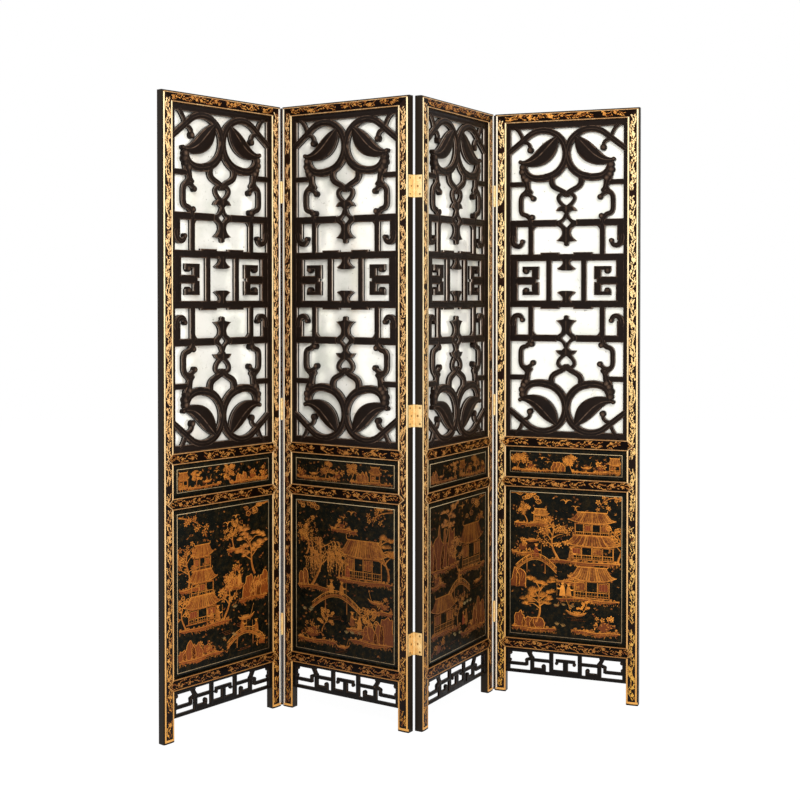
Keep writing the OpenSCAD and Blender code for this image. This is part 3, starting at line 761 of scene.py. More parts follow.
def bar_forms():
    """The fret's straight bars as (x0, x1, z0, z1, copies), in millimetres
    from its middle; copies names the ways that each is mirrored."""
    gx, gz = GRID_X, GRID_Z
    edge = HALF_W - BORDER_SIDE / 2
    up, cr = UPRIGHT / 2, CROSS / 2
    top = 62 * gz
    key = [(11, 13.8, .5, 5.6), (11, 17.6, 4.1, 5.6), (16.2, 17.6, 3.5, 5.6)]
    bars = [(u0 * gx, u1 * gx, v0 * gz, v1 * gz, "xz")
            for u0, u1, v0, v1 in key]
    bars += [
        (15.5 * gx, edge, 37.8 * gz - up, 37.8 * gz + up, "xz"),
        (14.2 * gx - up, 14.2 * gx + up, 9 * gz, 22.35 * gz, "xz"),
        (19.9 * gx, edge, 15.4 * gz, 22.35 * gz, "xz"),
        (2.8 * gx, 10.3 * gx, 9 * gz - cr, 11 * gz, "xz"),
        (6.95 * gx - up, 6.95 * gx + up, -9 * gz, 9 * gz, "x"),
        (19.5 * gx, edge, -9 * gz, 9 * gz, "x"),
        (12 * gx, 21 * gx, -1.6 * gz, 1.6 * gz, "x"),
        (3.9 * gx, edge, 22.35 * gz - cr, 22.35 * gz + cr, "xz"),
        (-edge, edge, 9 * gz - cr, 9 * gz + cr, "z"),
        (HALF_W - BORDER_SIDE, HALF_W, -top, top, "x border"),
        (-HALF_W, HALF_W, top - BORDER_TOP, top, "z border"),
    ]
    return bars


def ways(copies):
    """The mirrorings that a name stands for."""
    return [(x, z) for x in ((1, -1) if "x" in copies else (1,))
            for z in ((1, -1) if "z" in copies else (1,))]


def settled(z):
    """Heights on the fret where they lie at last: nothing moves above a
    level, and from there down the drawing sinks evenly."""
    return z - SINK * np.clip(SINK_FROM - z / GRID_Z, 0, 90) / 90


def carve_fret(shell, sizes):
    """Draws the whole fret, quarter by quarter."""
    face, back = sizes.fret_face / MM, sizes.fret_back / MM
    rise, low = sizes.scroll_rise / MM, sizes.bar_rise / MM
    centre = np.array([MID_X, FRET_Z])
    quarter = loop_forms()
    forms, hole = centre_forms()
    # a fillet runs from a quarter circle to the square corner round it
    fill = arc((10.86, 18.88), 2.4, 0, 90, 8)
    turn = np.linspace(0.0, 2.0, 9)
    corner = np.stack([13.26 - 2.4 * np.maximum(0, turn - 1),
                       18.88 + 2.4 * np.minimum(1, turn)], 1)
    quarter.append(((grid_points(fill), grid_points(corner)), CARVED, .5))
    quarter.append((hole, CARVED, .7))
    bosses = [(14.5, 51.2, STRAP * .9), (13.8, 24.8, STRAP * .8),
              (13.3, 32.1, STRAP * .8), (18.5, 46.6, STRAP * .6),
              (17.5, 44.5, STRAP), (17.7, 42.6, STRAP), (17, 40.8, STRAP),
              (15.9, 39.5, STRAP), (17.7, 15.3, STRAP * .7),
              (16.2, 3.8, 9.8)]

    def placed(points, way):
        p = np.atleast_2d(points) * way
        return np.stack([p[:, 0], settled(p[:, 1])], 1) + centre

    for way in ways("xz"):
        for (a, b), section, lift in quarter:
            ribbon(shell, (placed(a, way), placed(b, way)), face, back,
                   rise * lift, section, walls=SCROLL_WALLS)
        for u, v, radius in bosses:
            p = placed(grid_points([u, v]), way)[0]
            boss(shell, p[0], p[1], radius, face, back, rise * 1.05)
    for z in (1, -1):
        for a, b in forms:
            ribbon(shell, (placed(a, (1, z)), placed(b, (1, z))), face, back,
                   rise * .8, CARVED, walls=SCROLL_WALLS)
    for x0, x1, z0, z1, copies in bar_forms():
        for x, z in ways(copies.split()[0]):
            xs, zs = sorted((x0 * x, x1 * x)), np.sort([z0 * z, z1 * z])
            if "border" not in copies:
                zs = settled(zs)
            block(shell, xs[0] + MID_X, xs[1] + MID_X, zs[0] + FRET_Z,
                  zs[1] + FRET_Z, face + .2, back, low, 12.0, WALLS)


def carve_apron(shell, sizes):
    """Draws the pierced apron below the bottom rail: a T between two posts,
    and on both sides a bent post with a hook and a stepped strap."""
    bar, post, deep, mid = 10.0, 13.0, 79.0, 45.5
    face, back = sizes.fret_face / MM, sizes.apron_back / MM
    low = sizes.bar_rise / MM
    bent, strap, hook = 13.4 * GRID_X, 15.6 * GRID_X, 7.9 * GRID_X

    def put(x0, x1, z0, z1, sides=(1, -1)):
        for side in sides:
            xs = sorted((x0 * side, x1 * side))
            block(shell, xs[0] + MID_X, xs[1] + MID_X, z0 + APRON_TOP,
                  z1 + APRON_TOP, face, back, low, 8.0)

    put(HALF_W - post, HALF_W, -deep, 0)
    put(bent, HALF_W, -13.5, 0)
    put(mid - post / 2, mid + post / 2, -deep, 0)
    put(mid, bent, -35 - bar / 2, -35 + bar / 2)
    put(strap, HALF_W, -51 - bar / 2, -51 + bar / 2)
    put(bent - post / 2, bent + post / 2, -deep, -28)
    put(hook, bent, -deep, -59)
    put(hook, hook + post, -60, -51)
    put(25, 31, -39, -30)
    put(-31, 31, -30.5 - bar / 2, -30.5 + bar / 2, (1,))
    put(-8, 8, -deep, -30.5, (1,))
    put(-mid, mid, -deep, -60, (1,))
    put(-HALF_W, HALF_W, -deep, -deep + bar, (1,))
    put(-HALF_W, HALF_W, -9, 0, (1,))
    for path, wide in (([[15.1 * GRID_X, -6], [bent, -31]], post),
                       ([[bent, -30], [strap, -36], [strap, -54]], bar)):
        for side in (1, -1):
            p = np.array(path) * [side, 1] + [MID_X, APRON_TOP]
            ribbon(shell, stroke(p, wide, wide, False, False), face, back, low,
                   CARVED, 8.0)
    for u, z, radius in ((HALF_W - post - 1, -18, 6), (HALF_W - post, -41, 5),
                         (bent, -30, 7.5), (strap, -37, 6), (28, -38.5, 5.5),
                         (hook + 7, -53, 7)):
        for side in (1, -1):
            boss(shell, MID_X + side * u, APRON_TOP + z, radius, face, back,
                 low, 14)


# ---------------------------------------------------------------- gilding

def frame_face(x, z):
    """Depth of the crowned face: a parabola across each member, 0 on its
    middle line and the crown at its edges. At a joint the rail's pointed end
    counts where it is cut in, which is along lines at 45 degrees."""
    side = np.minimum(x, LEAF_W - x)
    depth = CROWN * np.clip(2 * side / STILE_W - 1, -1, 1) ** 2
    for low, high in RAILS:
        t = 2 * (z - low) / (high - low) - 1
        point = STILE_W - (high - low) / 2 * (1 - np.abs(t))
        depth = np.where((np.abs(t) <= 1) & (side >= point), CROWN * t ** 2,
                         depth)
    t = 2 * (z - FRET[1]) / TOP_RAIL_H - 1
    mitre = STILE_W * (LEAF_H - z) / TOP_RAIL_H
    return np.where((z > FRET[1]) & (side >= mitre), CROWN * t ** 2, depth)


def lay(shell, edges, rise, tone=None, face=frame_face):
    """A thin raised strip on the frame's face."""
    def under(x, z):
        return face(x, z) + 0.5
    ribbon(shell, edges, face, under, rise, ROUNDED, 1.0, tone)


def dense(edges, step=9.0):
    """The edges with more points, so that the strip follows the face."""
    a, b = edges
    out_a, out_b = [], []
    for i in range(len(a) - 1):
        n = max(1, int(np.linalg.norm(a[i + 1] - a[i]) / step))
        t = np.linspace(0, 1, n, endpoint=False)[:, None]
        out_a.append(a[i] + (a[i + 1] - a[i]) * t)
        out_b.append(b[i] + (b[i + 1] - b[i]) * t)
    return (np.concatenate([*out_a, a[-1:]]), np.concatenate([*out_b, b[-1:]]))


def box_path(x0, x1, z0, z1):
    """A rectangle's corners in order."""
    return [[x0, z0], [x1, z0], [x1, z1], [x0, z1]]


def opening_edges(low, high):
    """The edges of the gold line round one opening: a closed strip, wider
    down the stiles than along the rails, mitred at its corners."""
    def ring(side, end):
        path = box_path(OPEN[0] - side, OPEN[1] + side, low - end, high + end)
        return np.array(path + path[:1], float)
    return ring(LINE_W, RAIL_LINE + .4), ring(.4, .4)


def from_side(side, *points):
    """Points given from the left edge, turned over for the right side."""
    return [[LEAF_W - x if side else x, z] for x, z in points]


def gild_lines(shell, leaf, sizes):
    """Gold lines along both sides of every member, mitred at the corners,
    with the pointed shoulders drawn over the stiles."""
    rise = sizes.line_rise / MM
    # the outer lines' tones carry their painted highlight
    tones = OUTER_HIGHLIGHTS[leaf.number - 1]
    for x, tone in zip((OUTER_X, LEAF_W - OUTER_X), tones):
        path = [[x, LINE_FOOT], [x, LEAF_H - OUTER_X]]
        lay(shell, mitred(path, OUTER_W), rise, tone)
    end, high = OUTER_X - OUTER_W / 2, LEAF_H - LINE_HEAD
    lay(shell, mitred([[end, high], [LEAF_W - OUTER_X + OUTER_W / 2, high]],
                      TOP_LINE), rise, 0.0)
    for low, high in (LOWER, FRIEZE, FRET):
        a, b = opening_edges(low, high)
        for i in range(4):      # the rails' lines are the deeper gold
            lay(shell, (a[i:i + 2], b[i:i + 2]), rise,
                None if i % 2 else -0.05)
    for x in (OPEN[0] - LINE_W / 2, OPEN[1] + LINE_W / 2):
        lay(shell, mitred([[x, LINE_FOOT], [x, APRON_TOP]], LINE_W), rise)
    lay(shell, mitred([[OPEN[0] - 4, APRON_TOP + 2], [OPEN[1] + 4,
                       APRON_TOP + 2]], RAIL_LINE), rise, -0.05)
    for x0 in (0.0, LEAF_W - STILE_W):
        path = [[x0 + 3.6, CAP_Z], [x0 + STILE_W - .8, CAP_Z]]
        lay(shell, dense(mitred(path, CAP_W), 3.0), rise + .05, 1.2)
    for low, high in RAILS:
        for side in (0, 1):
            path = from_side(side, (STILE_W - 3.5, low + 3.5),
                             (SHOULDER_X, (low + high) / 2),
                             (STILE_W - 3.5, high - 3.5))
            lay(shell, dense(mitred(path, SHOULDER_W), 2.5), rise, 0.2)


def shoulder_creases(shell):
    """Thin dark lines in the joints: the mitres at the top corners and the
    rails' pointed shoulders."""
    for side in (0, 1):
        paths = [((2.5, LEAF_H - 2.1), (STILE_W, FRET[1]))]
        paths += [((STILE_W, low), (STILE_W - CREASE_X, (low + high) / 2),
                   (STILE_W, high)) for low, high in RAILS]
        for path in paths:
            path = from_side(side, *path)
            lay(shell, dense(mitred(path, CREASE_W), 4.0), CREASE_RISE)


def dabs(shell, x, z, angle, long, wide, rise, tone, face):
    """Many small raised dabs at once. Each outline is eight points of an
    oval whose ends are drawn to points; two more points over its long middle
    line stand up as a ridge."""
    a = np.linspace(0.0, 2 * np.pi, 8, endpoint=False)
    u = np.concatenate([np.cos(a), [.38, -.38]])
    v = np.concatenate([np.sin(a) * (1 - 0.25 * np.cos(a) ** 2), [0.0, 0.0]])
    u = u[None] * np.asarray(long)[:, None] / 2
    v = v[None] * np.asarray(wide)[:, None] / 2
    c, s = np.cos(angle)[:, None], np.sin(angle)[:, None]
    px = np.asarray(x)[:, None] + u * c - v * s
    pz = np.asarray(z)[:, None] + u * s + v * c
    lift = np.where(np.arange(10) < 8, -0.12, 1.0)
    py = face(px, pz) - rise * lift
    n = len(px)
    points = np.stack([px, py, pz], -1).reshape(-1, 3)
    tri = np.array([[6, 7, 8], [7, 0, 8], [0, 1, 8], [1, 2, 8], [2, 3, 9],
                    [3, 4, 9], [4, 5, 9], [5, 6, 9], [2, 9, 8], [6, 8, 9]])
    base = np.arange(7, -1, -1)[None]
    step = (np.arange(n) * 10)[:, None, None]
    shell.add(points, np.repeat(tone, 10),
              [(tri[None] + step).reshape(-1, 3),
               (base[None] + step).reshape(-1, 8)])


def spray_band(shell, rng, start, end, width, rise, full=0.0, side_sheen=0.0,
               wear=0.0):
    """Leaf sprays along one band: groups of leaves set in pairs along a
    wavy stem, with small five-petal flowers, and bare ground between. A full
    band has closer leaves and less bare ground, and paler leaves as a painted
    highlight. One side can be paler, a painted highlight, and the whole band
    darker by a painted shade, which pales it where it is below zero."""
    start, end = np.array(start, float), np.array(end, float)
    run = end - start
    span = np.linalg.norm(run)
    run /= span
    side = np.array([-run[1], run[0]])
    heading = math.atan2(run[1], run[0])
    t = 2.0
    while t < span - 12:
        group = min(rng.uniform(26, 95), span - t - 2)
        n = max(3, int(group / (2.3 - .65 * full)))
        s = np.linspace(0, group, n) + rng.uniform(-1.0, 1.0, n)
        wave = np.sin(s / rng.uniform(7, 11) + rng.uniform(0, 6)) * width * .22
        hand = np.where(np.arange(n) % 2 == 0, 1, -1)
        off = np.clip(wave + hand * rng.uniform(.08, .34, n) * width,
                      -width / 2 + 2, width / 2 - 2)
        p = start + run * (t + s)[:, None] + side * off[:, None]
        turn = heading + hand * rng.uniform(.2, 1.15, n)
        # painted light: paler in a full band and on one side, darker by the
        # stile's painted shade
        tone = rng.normal(.5, .42, n) + .2 * full - side_sheen * off / width - wear
        dabs(shell, p[:, 0], p[:, 1], turn, rng.uniform(5.0, 10.0, n),
             rng.uniform(2.2, 4.2, n), rise, np.clip(tone, -.3, 1.2),
             frame_face)
        for _ in range(int(group / 24)):
            f = rng.uniform(5, max(6, group - 5))
            c = start + run * (t + f) + side * rng.uniform(-.25, .25) * width
            a = np.arange(5) * 2 * np.pi / 5 + rng.uniform(0, 6)
            r = rng.uniform(2.4, 3.8)
            dabs(shell, c[0] + r * np.cos(a), c[1] + r * np.sin(a), a,
                 np.full(5, r * 1.9), np.full(5, r * 1.15), rise * 1.15,
                 np.full(5, rng.uniform(.6, 1.0) - wear), frame_face)
        t += group + (rng.uniform(2, 7) if rng.random() < .7 + .1 * full
                      else rng.uniform(14, 34))


def gild_sprays(shell, rails, leaf, sizes):
    """Sprays on every band of one leaf, in a fixed random order: the stiles'
    in one shell and the rails' in another. A stile's band is cut at each
    rail, and is the fullest beside the fret."""
    rng = np.random.default_rng(70 + leaf.number)
    rise = sizes.spray_rise / MM
    # painted highlight: one side of every stile's sprays is paler
    side_sheen = 0.7 if leaf.across[1] < 0 else -0.7
    cuts = [BAND_FOOT, *((low + high) / 2 for low, high in RAILS),
            LEAF_H - BAND_HEAD]
    # painted shade on each stile's sprays, or painted highlight where below
    # zero
    stile_shades = STILE_PAINTED_SHADE[leaf.number - 1]
    for x, wear in zip((BAND_X, LEAF_W - BAND_X), stile_shades):
        for low, high in zip(cuts[:-1], cuts[1:]):
            spray_band(shell, rng, [x, low + 2], [x, high - 2], BAND_W, rise,
                       1.4 if high > FRET[0] else 0.5, side_sheen, wear)
    for low, high in RAILS:
        mid = (low + high) / 2
        spray_band(rails, rng, [STILE_W - 8, mid], [LEAF_W - STILE_W + 8, mid],
                   RAIL_H - 2 * RAIL_LINE - 3, rise)
        for side in (1, -1):      # five leaves fill each pointed end
            past = np.array([11.3, 8.6, 6.0, 6.0, 8.2])
            dabs(rails, MID_X + side * (HALF_W + past),
                 mid + np.array([0, 2.6, 5.2, -5.2, -2.8]),
                 side * np.array([0, -.7, -.6, .6, .7]), np.full(5, 6.0),
                 np.full(5, 2.8), rise, np.array([.9, .5, .8, .6, .3]),
                 frame_face)
    top = FRET[1] + TOP_RAIL_H / 2
    spray_band(rails, rng, [STILE_W - 4, top], [LEAF_W - STILE_W + 4, top],
               TOP_BAND, rise)


def flat_face(x, z):
    """The raised field's flat face."""
    return np.zeros_like(x) + FIELD_Y


def gild_beads(shell, leaf):
    """A thin bead round each raised field, palest at one upper corner, a
    painted highlight: the right one on the leaves that turn back to the
    left, else the left one."""
    # painted highlight: the tones at the field's corners
    corners = [0.1, 0.35, 1.3, 0.8] if leaf.across[1] < 0 else [.7, 0, .6, 1.3]
    tones = np.array(corners + corners[:1])[:, None]
    for low, high in (LOWER, FRIEZE):
        path = box_path(OPEN[0] + MARGIN, OPEN[1] - MARGIN, low + MARGIN,
                        high - MARGIN)
        lay(shell, mitred(path, BEAD_W, True), 0.5, tones, flat_face)


# ---------------------------------------------------------------- pictures

THIN = np.array([[0, 0, 0], [.5, 1, 0], [1, 0, 0]])
FIELD_W = OPEN[1] - OPEN[0] - 2 * MARGIN


def rect(x0, x1, z0, z1):
    """A rectangle's corners as an array."""
    return np.array(box_path(x0, x1, z0, z1), float)


class Picture:
    """A gilt drawing on one raised field, in millimetres from the field's
    lower left corner. Nothing is drawn over the field's edge."""

    def __init__(self, span, rise, seed):
        self.shell = Shell()
        self.corner = np.array([OPEN[0] + MARGIN, span[0] + MARGIN])
        self.size = np.array([FIELD_W, span[1] - span[0] - 2 * MARGIN])
        self.rise = rise
        self.rng = np.random.default_rng(seed)

    def on(self, points):
        """Points kept inside the field and moved to it."""
        return np.clip(points, 3.0, self.size - 3.0) + self.corner

    def plate(self, points, tone, lift=0.6):
        """A flat raised shape with upright sides."""
        p = self.on(np.asarray(points, float))
        rings = [np.stack([p[:, 0], np.full(len(p), y), p[:, 1]], -1)
                 for y in (FIELD_Y + 0.3, FIELD_Y - self.rise * lift)]
        self.shell.tube(np.stack(rings), tone)

    def line(self, path, start_w, end_w=None, tone=0.85, step=4.5):
        """A raised line that swells or tapers along its length."""
        edges = stroke(np.asarray(path, float), start_w,
                       start_w if end_w is None else end_w, False, False, step)
        ribbon(self.shell, tuple(self.on(e) for e in edges), FIELD_Y,
               FIELD_Y + 0.3, self.rise, THIN, 1.0, tone)

    def dabs(self, x, z, angle, long, wide, tone, lift=1.0):
        """Small raised leaves, petals or specks."""
        x, z, angle, long, wide, tone = np.broadcast_arrays(
            x, z, angle, long, wide, tone)
        p = self.on(np.stack([x.ravel(), z.ravel()], 1))
        dabs(self.shell, p[:, 0], p[:, 1], angle.ravel(), long.ravel(),
             wide.ravel(), self.rise * lift, tone.ravel(), flat_face)


def roof(pic, x, z, w, h, tiles):
    """A tiled roof: strips run from a level ridge to eaves that turn up with
    the third power of the distance from the middle."""
    t = np.linspace(-1, 1, tiles + 1)
    ridge = np.stack([x + t * w * .3, np.full(tiles + 1, z + h)], 1)
    bend = np.stack([x + t * w * .4, z + h * (.42 + .04 * np.abs(t) ** 3)], 1)
    eaves = np.stack([x + t * w * .5, z + h * .34 * np.abs(t) ** 3], 1)
    for i in range(tiles):
        a, b = .1, .9
        left = [p[i] * (1 - a) + p[i + 1] * a for p in (ridge, bend, eaves)]
        right = [p[i] * (1 - b) + p[i + 1] * b for p in (eaves, bend, ridge)]
        pic.plate(left + right, pic.rng.uniform(.2, .55), .8)
    pic.line(ridge + [0, 1.0], 3.0, tone=.8)
    pic.line(eaves, 2.4, tone=.95)
    for hand in (-1, 1):
        tip = np.array([x + hand * w * .3, z + h])
        pic.line([tip, tip + [hand * h * .1, h * .1], tip + [hand * h * .09,
                 h * .28]], 2.6, 1.2, .9, 2.0)


def pavilion(pic, x, z, w, h, storeys=1, posts=4):
    """A garden house: terrace, posts, lattice rails, screens between the
    posts, and a roof on each storey."""
    share = h / storeys
    for s in range(storeys):
        ww = w * (1 - .2 * s)
        body = share * .56
        pic.plate(rect(x - ww * .52, x + ww * .52, z, z + 3.6), .45)
        pic.plate(rect(x - ww * .46, x + ww * .46, z + body - 4, z + body),
                  .35)
        at = np.linspace(-.44, .44, posts)
        for u in at:
            pic.plate(rect(x + u * ww - 1.7, x + u * ww + 1.7, z, z + body),
                      .5)
        for k, wide in ((.16, 1.2), (.36, 1.8)):
            level = z + k * body
            pic.line([[x - .44 * ww, level], [x + .44 * ww, level]], wide)
        for u in np.linspace(-.44, .44, posts * 4 - 3):
            pic.line([[x + u * ww, z + 3], [x + u * ww, z + .36 * body]], 1.0,
                     tone=.7)
        for i, (u0, u1) in enumerate(zip(at[:-1], at[1:])):
            if (i + s) % 2:
                continue
            x0, x1 = x + u0 * ww + 4, x + u1 * ww - 4
            z0, z1 = z + body * .44, z + body - 7
            pic.plate(rect(x0, x1, z0, z1), pic.rng.choice([-1.0, .15]), .3)
            pic.line(np.array(box_path(x0, x1, z0, z1) + [[x0, z0]]), 1.3)
            for k in (1, 2):
                m = x0 + (x1 - x0) * k / 3
                pic.line([[m, z0], [m, z1]], .9)
        roof(pic, x, z + body, ww * 1.26, share * .42, 9 + 2 * posts)
        z += share * .93


def flower(pic, x, z, r, tone):
    """Five petals round a middle."""
    a = np.arange(5) * 2 * np.pi / 5 + pic.rng.uniform(0, 6)
    pic.dabs(x + r * .64 * np.cos(a), z + r * .64 * np.sin(a), a, r * .8,
             r * .56, tone)
    pic.dabs(np.array([x]), z, 0.0, r * .3, r * .3, 1.0, 1.4)


def branch(pic, start, end, kind, r=15.0):
    """A branch that leans in from the field's edge, with leaves along it."""
    start, end = np.array(start, float), np.array(end, float)
    mid = (start + end) / 2 + [0, pic.rng.uniform(6, 16)]
    path = bez(start, mid, mid, end, 10)
    pic.line(path, 4.4, 1.2, .5)
    for i in (2, 4, 6, 8, 10):
        foliage(pic, path[i] + pic.rng.uniform(-.8, .8, 2) * r, r, kind)


def ground(pic, x, z, deep):
    """Earth under a bank: a plate between the bank's line and a ragged lower
    edge."""
    n = len(x)
    low = z - deep * pic.rng.uniform(.35, 1.0, n)
    low[[0, -1]] = z[[0, -1]] - .6
    edge = np.concatenate([np.stack([x, z], 1), np.stack([x, low], 1)[::-1]])
    pic.plate(edge, pic.rng.uniform(-.4, .1), .35)
    count = int(abs(x[-1] - x[0]) / 3)
    at = pic.rng.uniform(min(x[0], x[-1]), max(x[0], x[-1]), count)
    order = np.argsort(x)
    fall = deep * pic.rng.uniform(.1, 1.1, count)
    pic.dabs(at, np.interp(at, x[order], z[order]) - fall, 1.5,
             pic.rng.uniform(4, 9, count), 1.7, pic.rng.uniform(.1, .8, count))


def mound(pic, at, r):
    """A dim ragged patch under leaves: a circle whose radius wanders."""
    a = np.linspace(0, 2 * np.pi, 11, endpoint=False)
    reach = r * pic.rng.uniform(.55, .95, 11)
    pic.plate(np.stack([at[0] + reach * np.cos(a) * 1.1,
                        at[1] + reach * np.sin(a) * .8], 1),
              pic.rng.uniform(-.3, .1), .3)


def clump(pic, x, z, r):
    """A leafy clump: a pale rim that swells five times round it, and a few
    strokes inside."""
    rng = pic.rng
    a = np.linspace(0, 2 * np.pi, 19)
    reach = r * (1 + .16 * np.cos(5 * a + rng.uniform(0, 6)))
    pic.line(np.stack([x + reach * np.cos(a) * 1.1,
                       z + reach * np.sin(a) * .85], 1),
             2.1, tone=rng.uniform(.5, 1.0), step=3)
    pic.dabs(x + rng.uniform(-.45, .45, 3) * r,
             z + rng.uniform(-.4, .4, 3) * r,
             rng.uniform(.8, 2.3, 3), r * .8, 1.7, rng.uniform(.2, .8, 3))


def foliage(pic, at, r, kind):
    """Leaves about a branch end: blossom, pine fans, broad leaves or hanging
    willow."""
    rng = pic.rng
    if kind == "blossom":
        for _ in range(2):
            d = rng.uniform(-1, 1, 2) * r
            flower(pic, at[0] + d[0], at[1] + d[1],
                   rng.uniform(.5, .72) * min(max(r, 10), 15),
                   rng.uniform(.35, .95))
        n = 5
        d = rng.uniform(-1.2, 1.2, (n, 2)) * r
        pic.dabs(at[0] + d[:, 0], at[1] + d[:, 1], rng.uniform(0, 3, n),
                 rng.uniform(4, 7, n), rng.uniform(2, 3, n),
                 rng.uniform(.2, .7, n))
    elif kind == "pine":
        for _ in range(3):
            c = at + rng.uniform(-.8, .8, 2) * [r * 1.1, r * .45]
            a = np.linspace(.25, np.pi - .25, 9)
            long = rng.uniform(.75, 1.0) * r
            pic.dabs(c[0] + np.cos(a) * long * .5,
                     c[1] + np.sin(a) * long * .42,
                     a, long, 1.7, rng.uniform(.35, .95, 9))
    elif kind == "willow":
        for _ in range(5):
            x0 = at[0] + rng.uniform(-1, 1) * r
            fall = rng.uniform(1.6, 3.4) * r
            path = bez([x0, at[1]], [x0 + r * .5, at[1] + r * .2],
                       [x0 + r * .6, at[1] - fall * .4],
                       [x0 + r * .45, at[1] - fall], 8)
            pic.line(path, 1.1, .7, .8)
            p = path[1:]
            hand = np.where(np.arange(len(p)) % 2, 1, -1)
            pic.dabs(p[:, 0] + hand * 1.6, p[:, 1], -1.2 * hand, 5.5, 1.9,
                     rng.uniform(.4, .9, len(p)))
    else:
        for _ in range(2):
            d = rng.uniform(-1, 1, 2) * [r, r * .7]
            clump(pic, at[0] + d[0], at[1] + d[1], rng.uniform(.45, .65) * r)


def tree(pic, x, z, height, lean, kind, limbs=6):
    """A bent trunk with tapering limbs to both sides."""
    rng = pic.rng
    t = np.linspace(0, 1, 15)
    bend = height * .07 * np.sin(t * 5.2 + rng.uniform(0, 6))
    trunk = np.stack([x + lean * t ** 1.2 + bend - bend[0],
                      z + height * .82 * t], 1)
    pic.line(trunk, height * .052, height * .016, .45)
    pic.line(trunk + [height * .012, 0], 1.3, .8, .95)
    tips = [trunk[-1]]
    for i in range(limbs):
        start = trunk[int((.38 + .58 * i / limbs) * 14)]
        hand = 1 if i % 2 else -1
        reach = height * rng.uniform(.2, .36)
        a = rng.uniform(.15, .95)
        end = start + np.array([hand * reach * np.cos(a), reach * np.sin(a)])
        mid = (start + end) / 2 + [0, rng.uniform(-.03, .09) * height]
        pic.line(bez(start, mid, mid, end, 6), height * .022, 1.1, .7)
        tips += [end, mid + [0, 2]]
    for tip in tips:
        foliage(pic, tip, height * .1, kind)


def rocks(pic, x, z, w, h, count=3):
    """Pierced garden rocks: jagged plates one before the other, each with a
    pale contour and inner strokes."""
    rng = pic.rng
    for k in range(count):
        cx = x + (k - (count - 1) / 2) * w * .3
        ww, hh = w * rng.uniform(.4, .6), h * rng.uniform(.55, 1.0)
        a = np.linspace(0, np.pi, 12)
        r = rng.uniform(.72, 1.12, 12)
        edge = np.stack([cx + ww / 2 * np.cos(a) * r,
                         z + hh * np.sin(a) * r], 1)
        pic.plate(edge, rng.uniform(-.45, -.05), .4)
        pic.line(edge, 2.2, tone=.9, step=5)
        for j in (1, 3, 5, 7, 9):
            top = edge[j] * .86 + np.array([cx, z]) * .14
            low = edge[j] * .35 + np.array([cx, z]) * .65
            pic.line(bez(top, top + [3, -hh * .2], low + [-3, hh * .1], low,
                         4), 1.9, .8, rng.uniform(.3, .8))


def shore(pic, x0, x1, z, rough=3.0, deep=13.0):
    """A bank: a swelling wavy line with two thinner echoes below it, tufts
    along it and earth under it."""
    rng = pic.rng
    t = np.linspace(0, 1, 14)
    wave = rough * np.sin(t * 8 + rng.uniform(0, 6)) * (.4 + .6 * t)
    top = np.stack([x0 + (x1 - x0) * t, z + wave], 1)
    ground(pic, top[:, 0], top[:, 1], deep)
    pic.line(top, 4.6, 2.0, .6)
    pic.line(top[2:11] + [4, -5.5], 1.6, .8, .75)
    pic.line(top[5:13] + [0, -10], 1.3, .7, .6)
    n = max(4, int(abs(x1 - x0) / 9))
    at = np.sort(rng.uniform(0, 1, n))
    px = x0 + (x1 - x0) * at
    pz = z + np.interp(at, t, wave)
    for k, a in enumerate((.9, 1.57, 2.2)):
        pic.dabs(px + (k - 1) * 2.2, pz + 4.2, a, rng.uniform(5, 9, n), 1.9,
                 rng.uniform(.3, .9, n))


def ripples(pic, x, z, w, count=3):
    """Water: short level strokes that thin out."""
    for k in range(count):
        x0 = x - w / 2 + pic.rng.uniform(0, .3) * w
        pic.line([[x0, z - k * 4.5], [x0 + w * pic.rng.uniform(.4, .7),
                 z - k * 4.5 + .6]], 1.2, .6, .1)


def bridge(pic, x0, x1, z, h):
    """An arched bridge: the arch and its rail are half sine waves, joined by
    posts."""
    t = np.linspace(0, 1, 19)
    arch = np.stack([x0 + (x1 - x0) * t, z + h * np.sin(np.pi * t)], 1)
    pic.line(arch, 6.5, tone=.35)
    pic.line(arch - [0, 5.6], 1.6, tone=.85)
    pic.line(arch + [0, 13], 2.2, tone=.9)
    pic.line(arch + [0, 8], 1.1, tone=.8)
    for p in arch[1:-1:2]:
        pic.line([p + [0, 2], p + [0, 15]], 1.8, tone=.8)
    for k in (5, 13):
        pic.line([arch[k] - [0, 3], [arch[k][0], z - 9]], 3.4, 2.4, .4)


def boat(pic, x, z, s, hand=1):
    """A river boat: a curved hull, a barrel awning and a pole."""
    top = bez([-1, .3], [-.5, 0], [.4, -.02], [1.05, .42], 10)
    low = bez([.85, .1], [.4, -.22], [-.5, -.22], [-.85, .08], 10)
    way = np.array([hand * s, s])
    at = np.array([x, z])
    pic.plate(np.concatenate([top, low]) * way + at, .3)
    pic.line(top * way + at, 1.8, tone=.95)
    for k in np.linspace(-.35, .3, 6):
        pic.line(bez([k - .12, .04], [k - .14, .42], [k + .14, .42],
                     [k + .12, .04], 6) * way + at, 1.5, tone=.75, step=3)
    pic.line(np.array([[.55, .1], [.95, 1.25]]) * way + at, 1.3, .9, .8)
    ripples(pic, x, z - s * .3, s * 2.4)


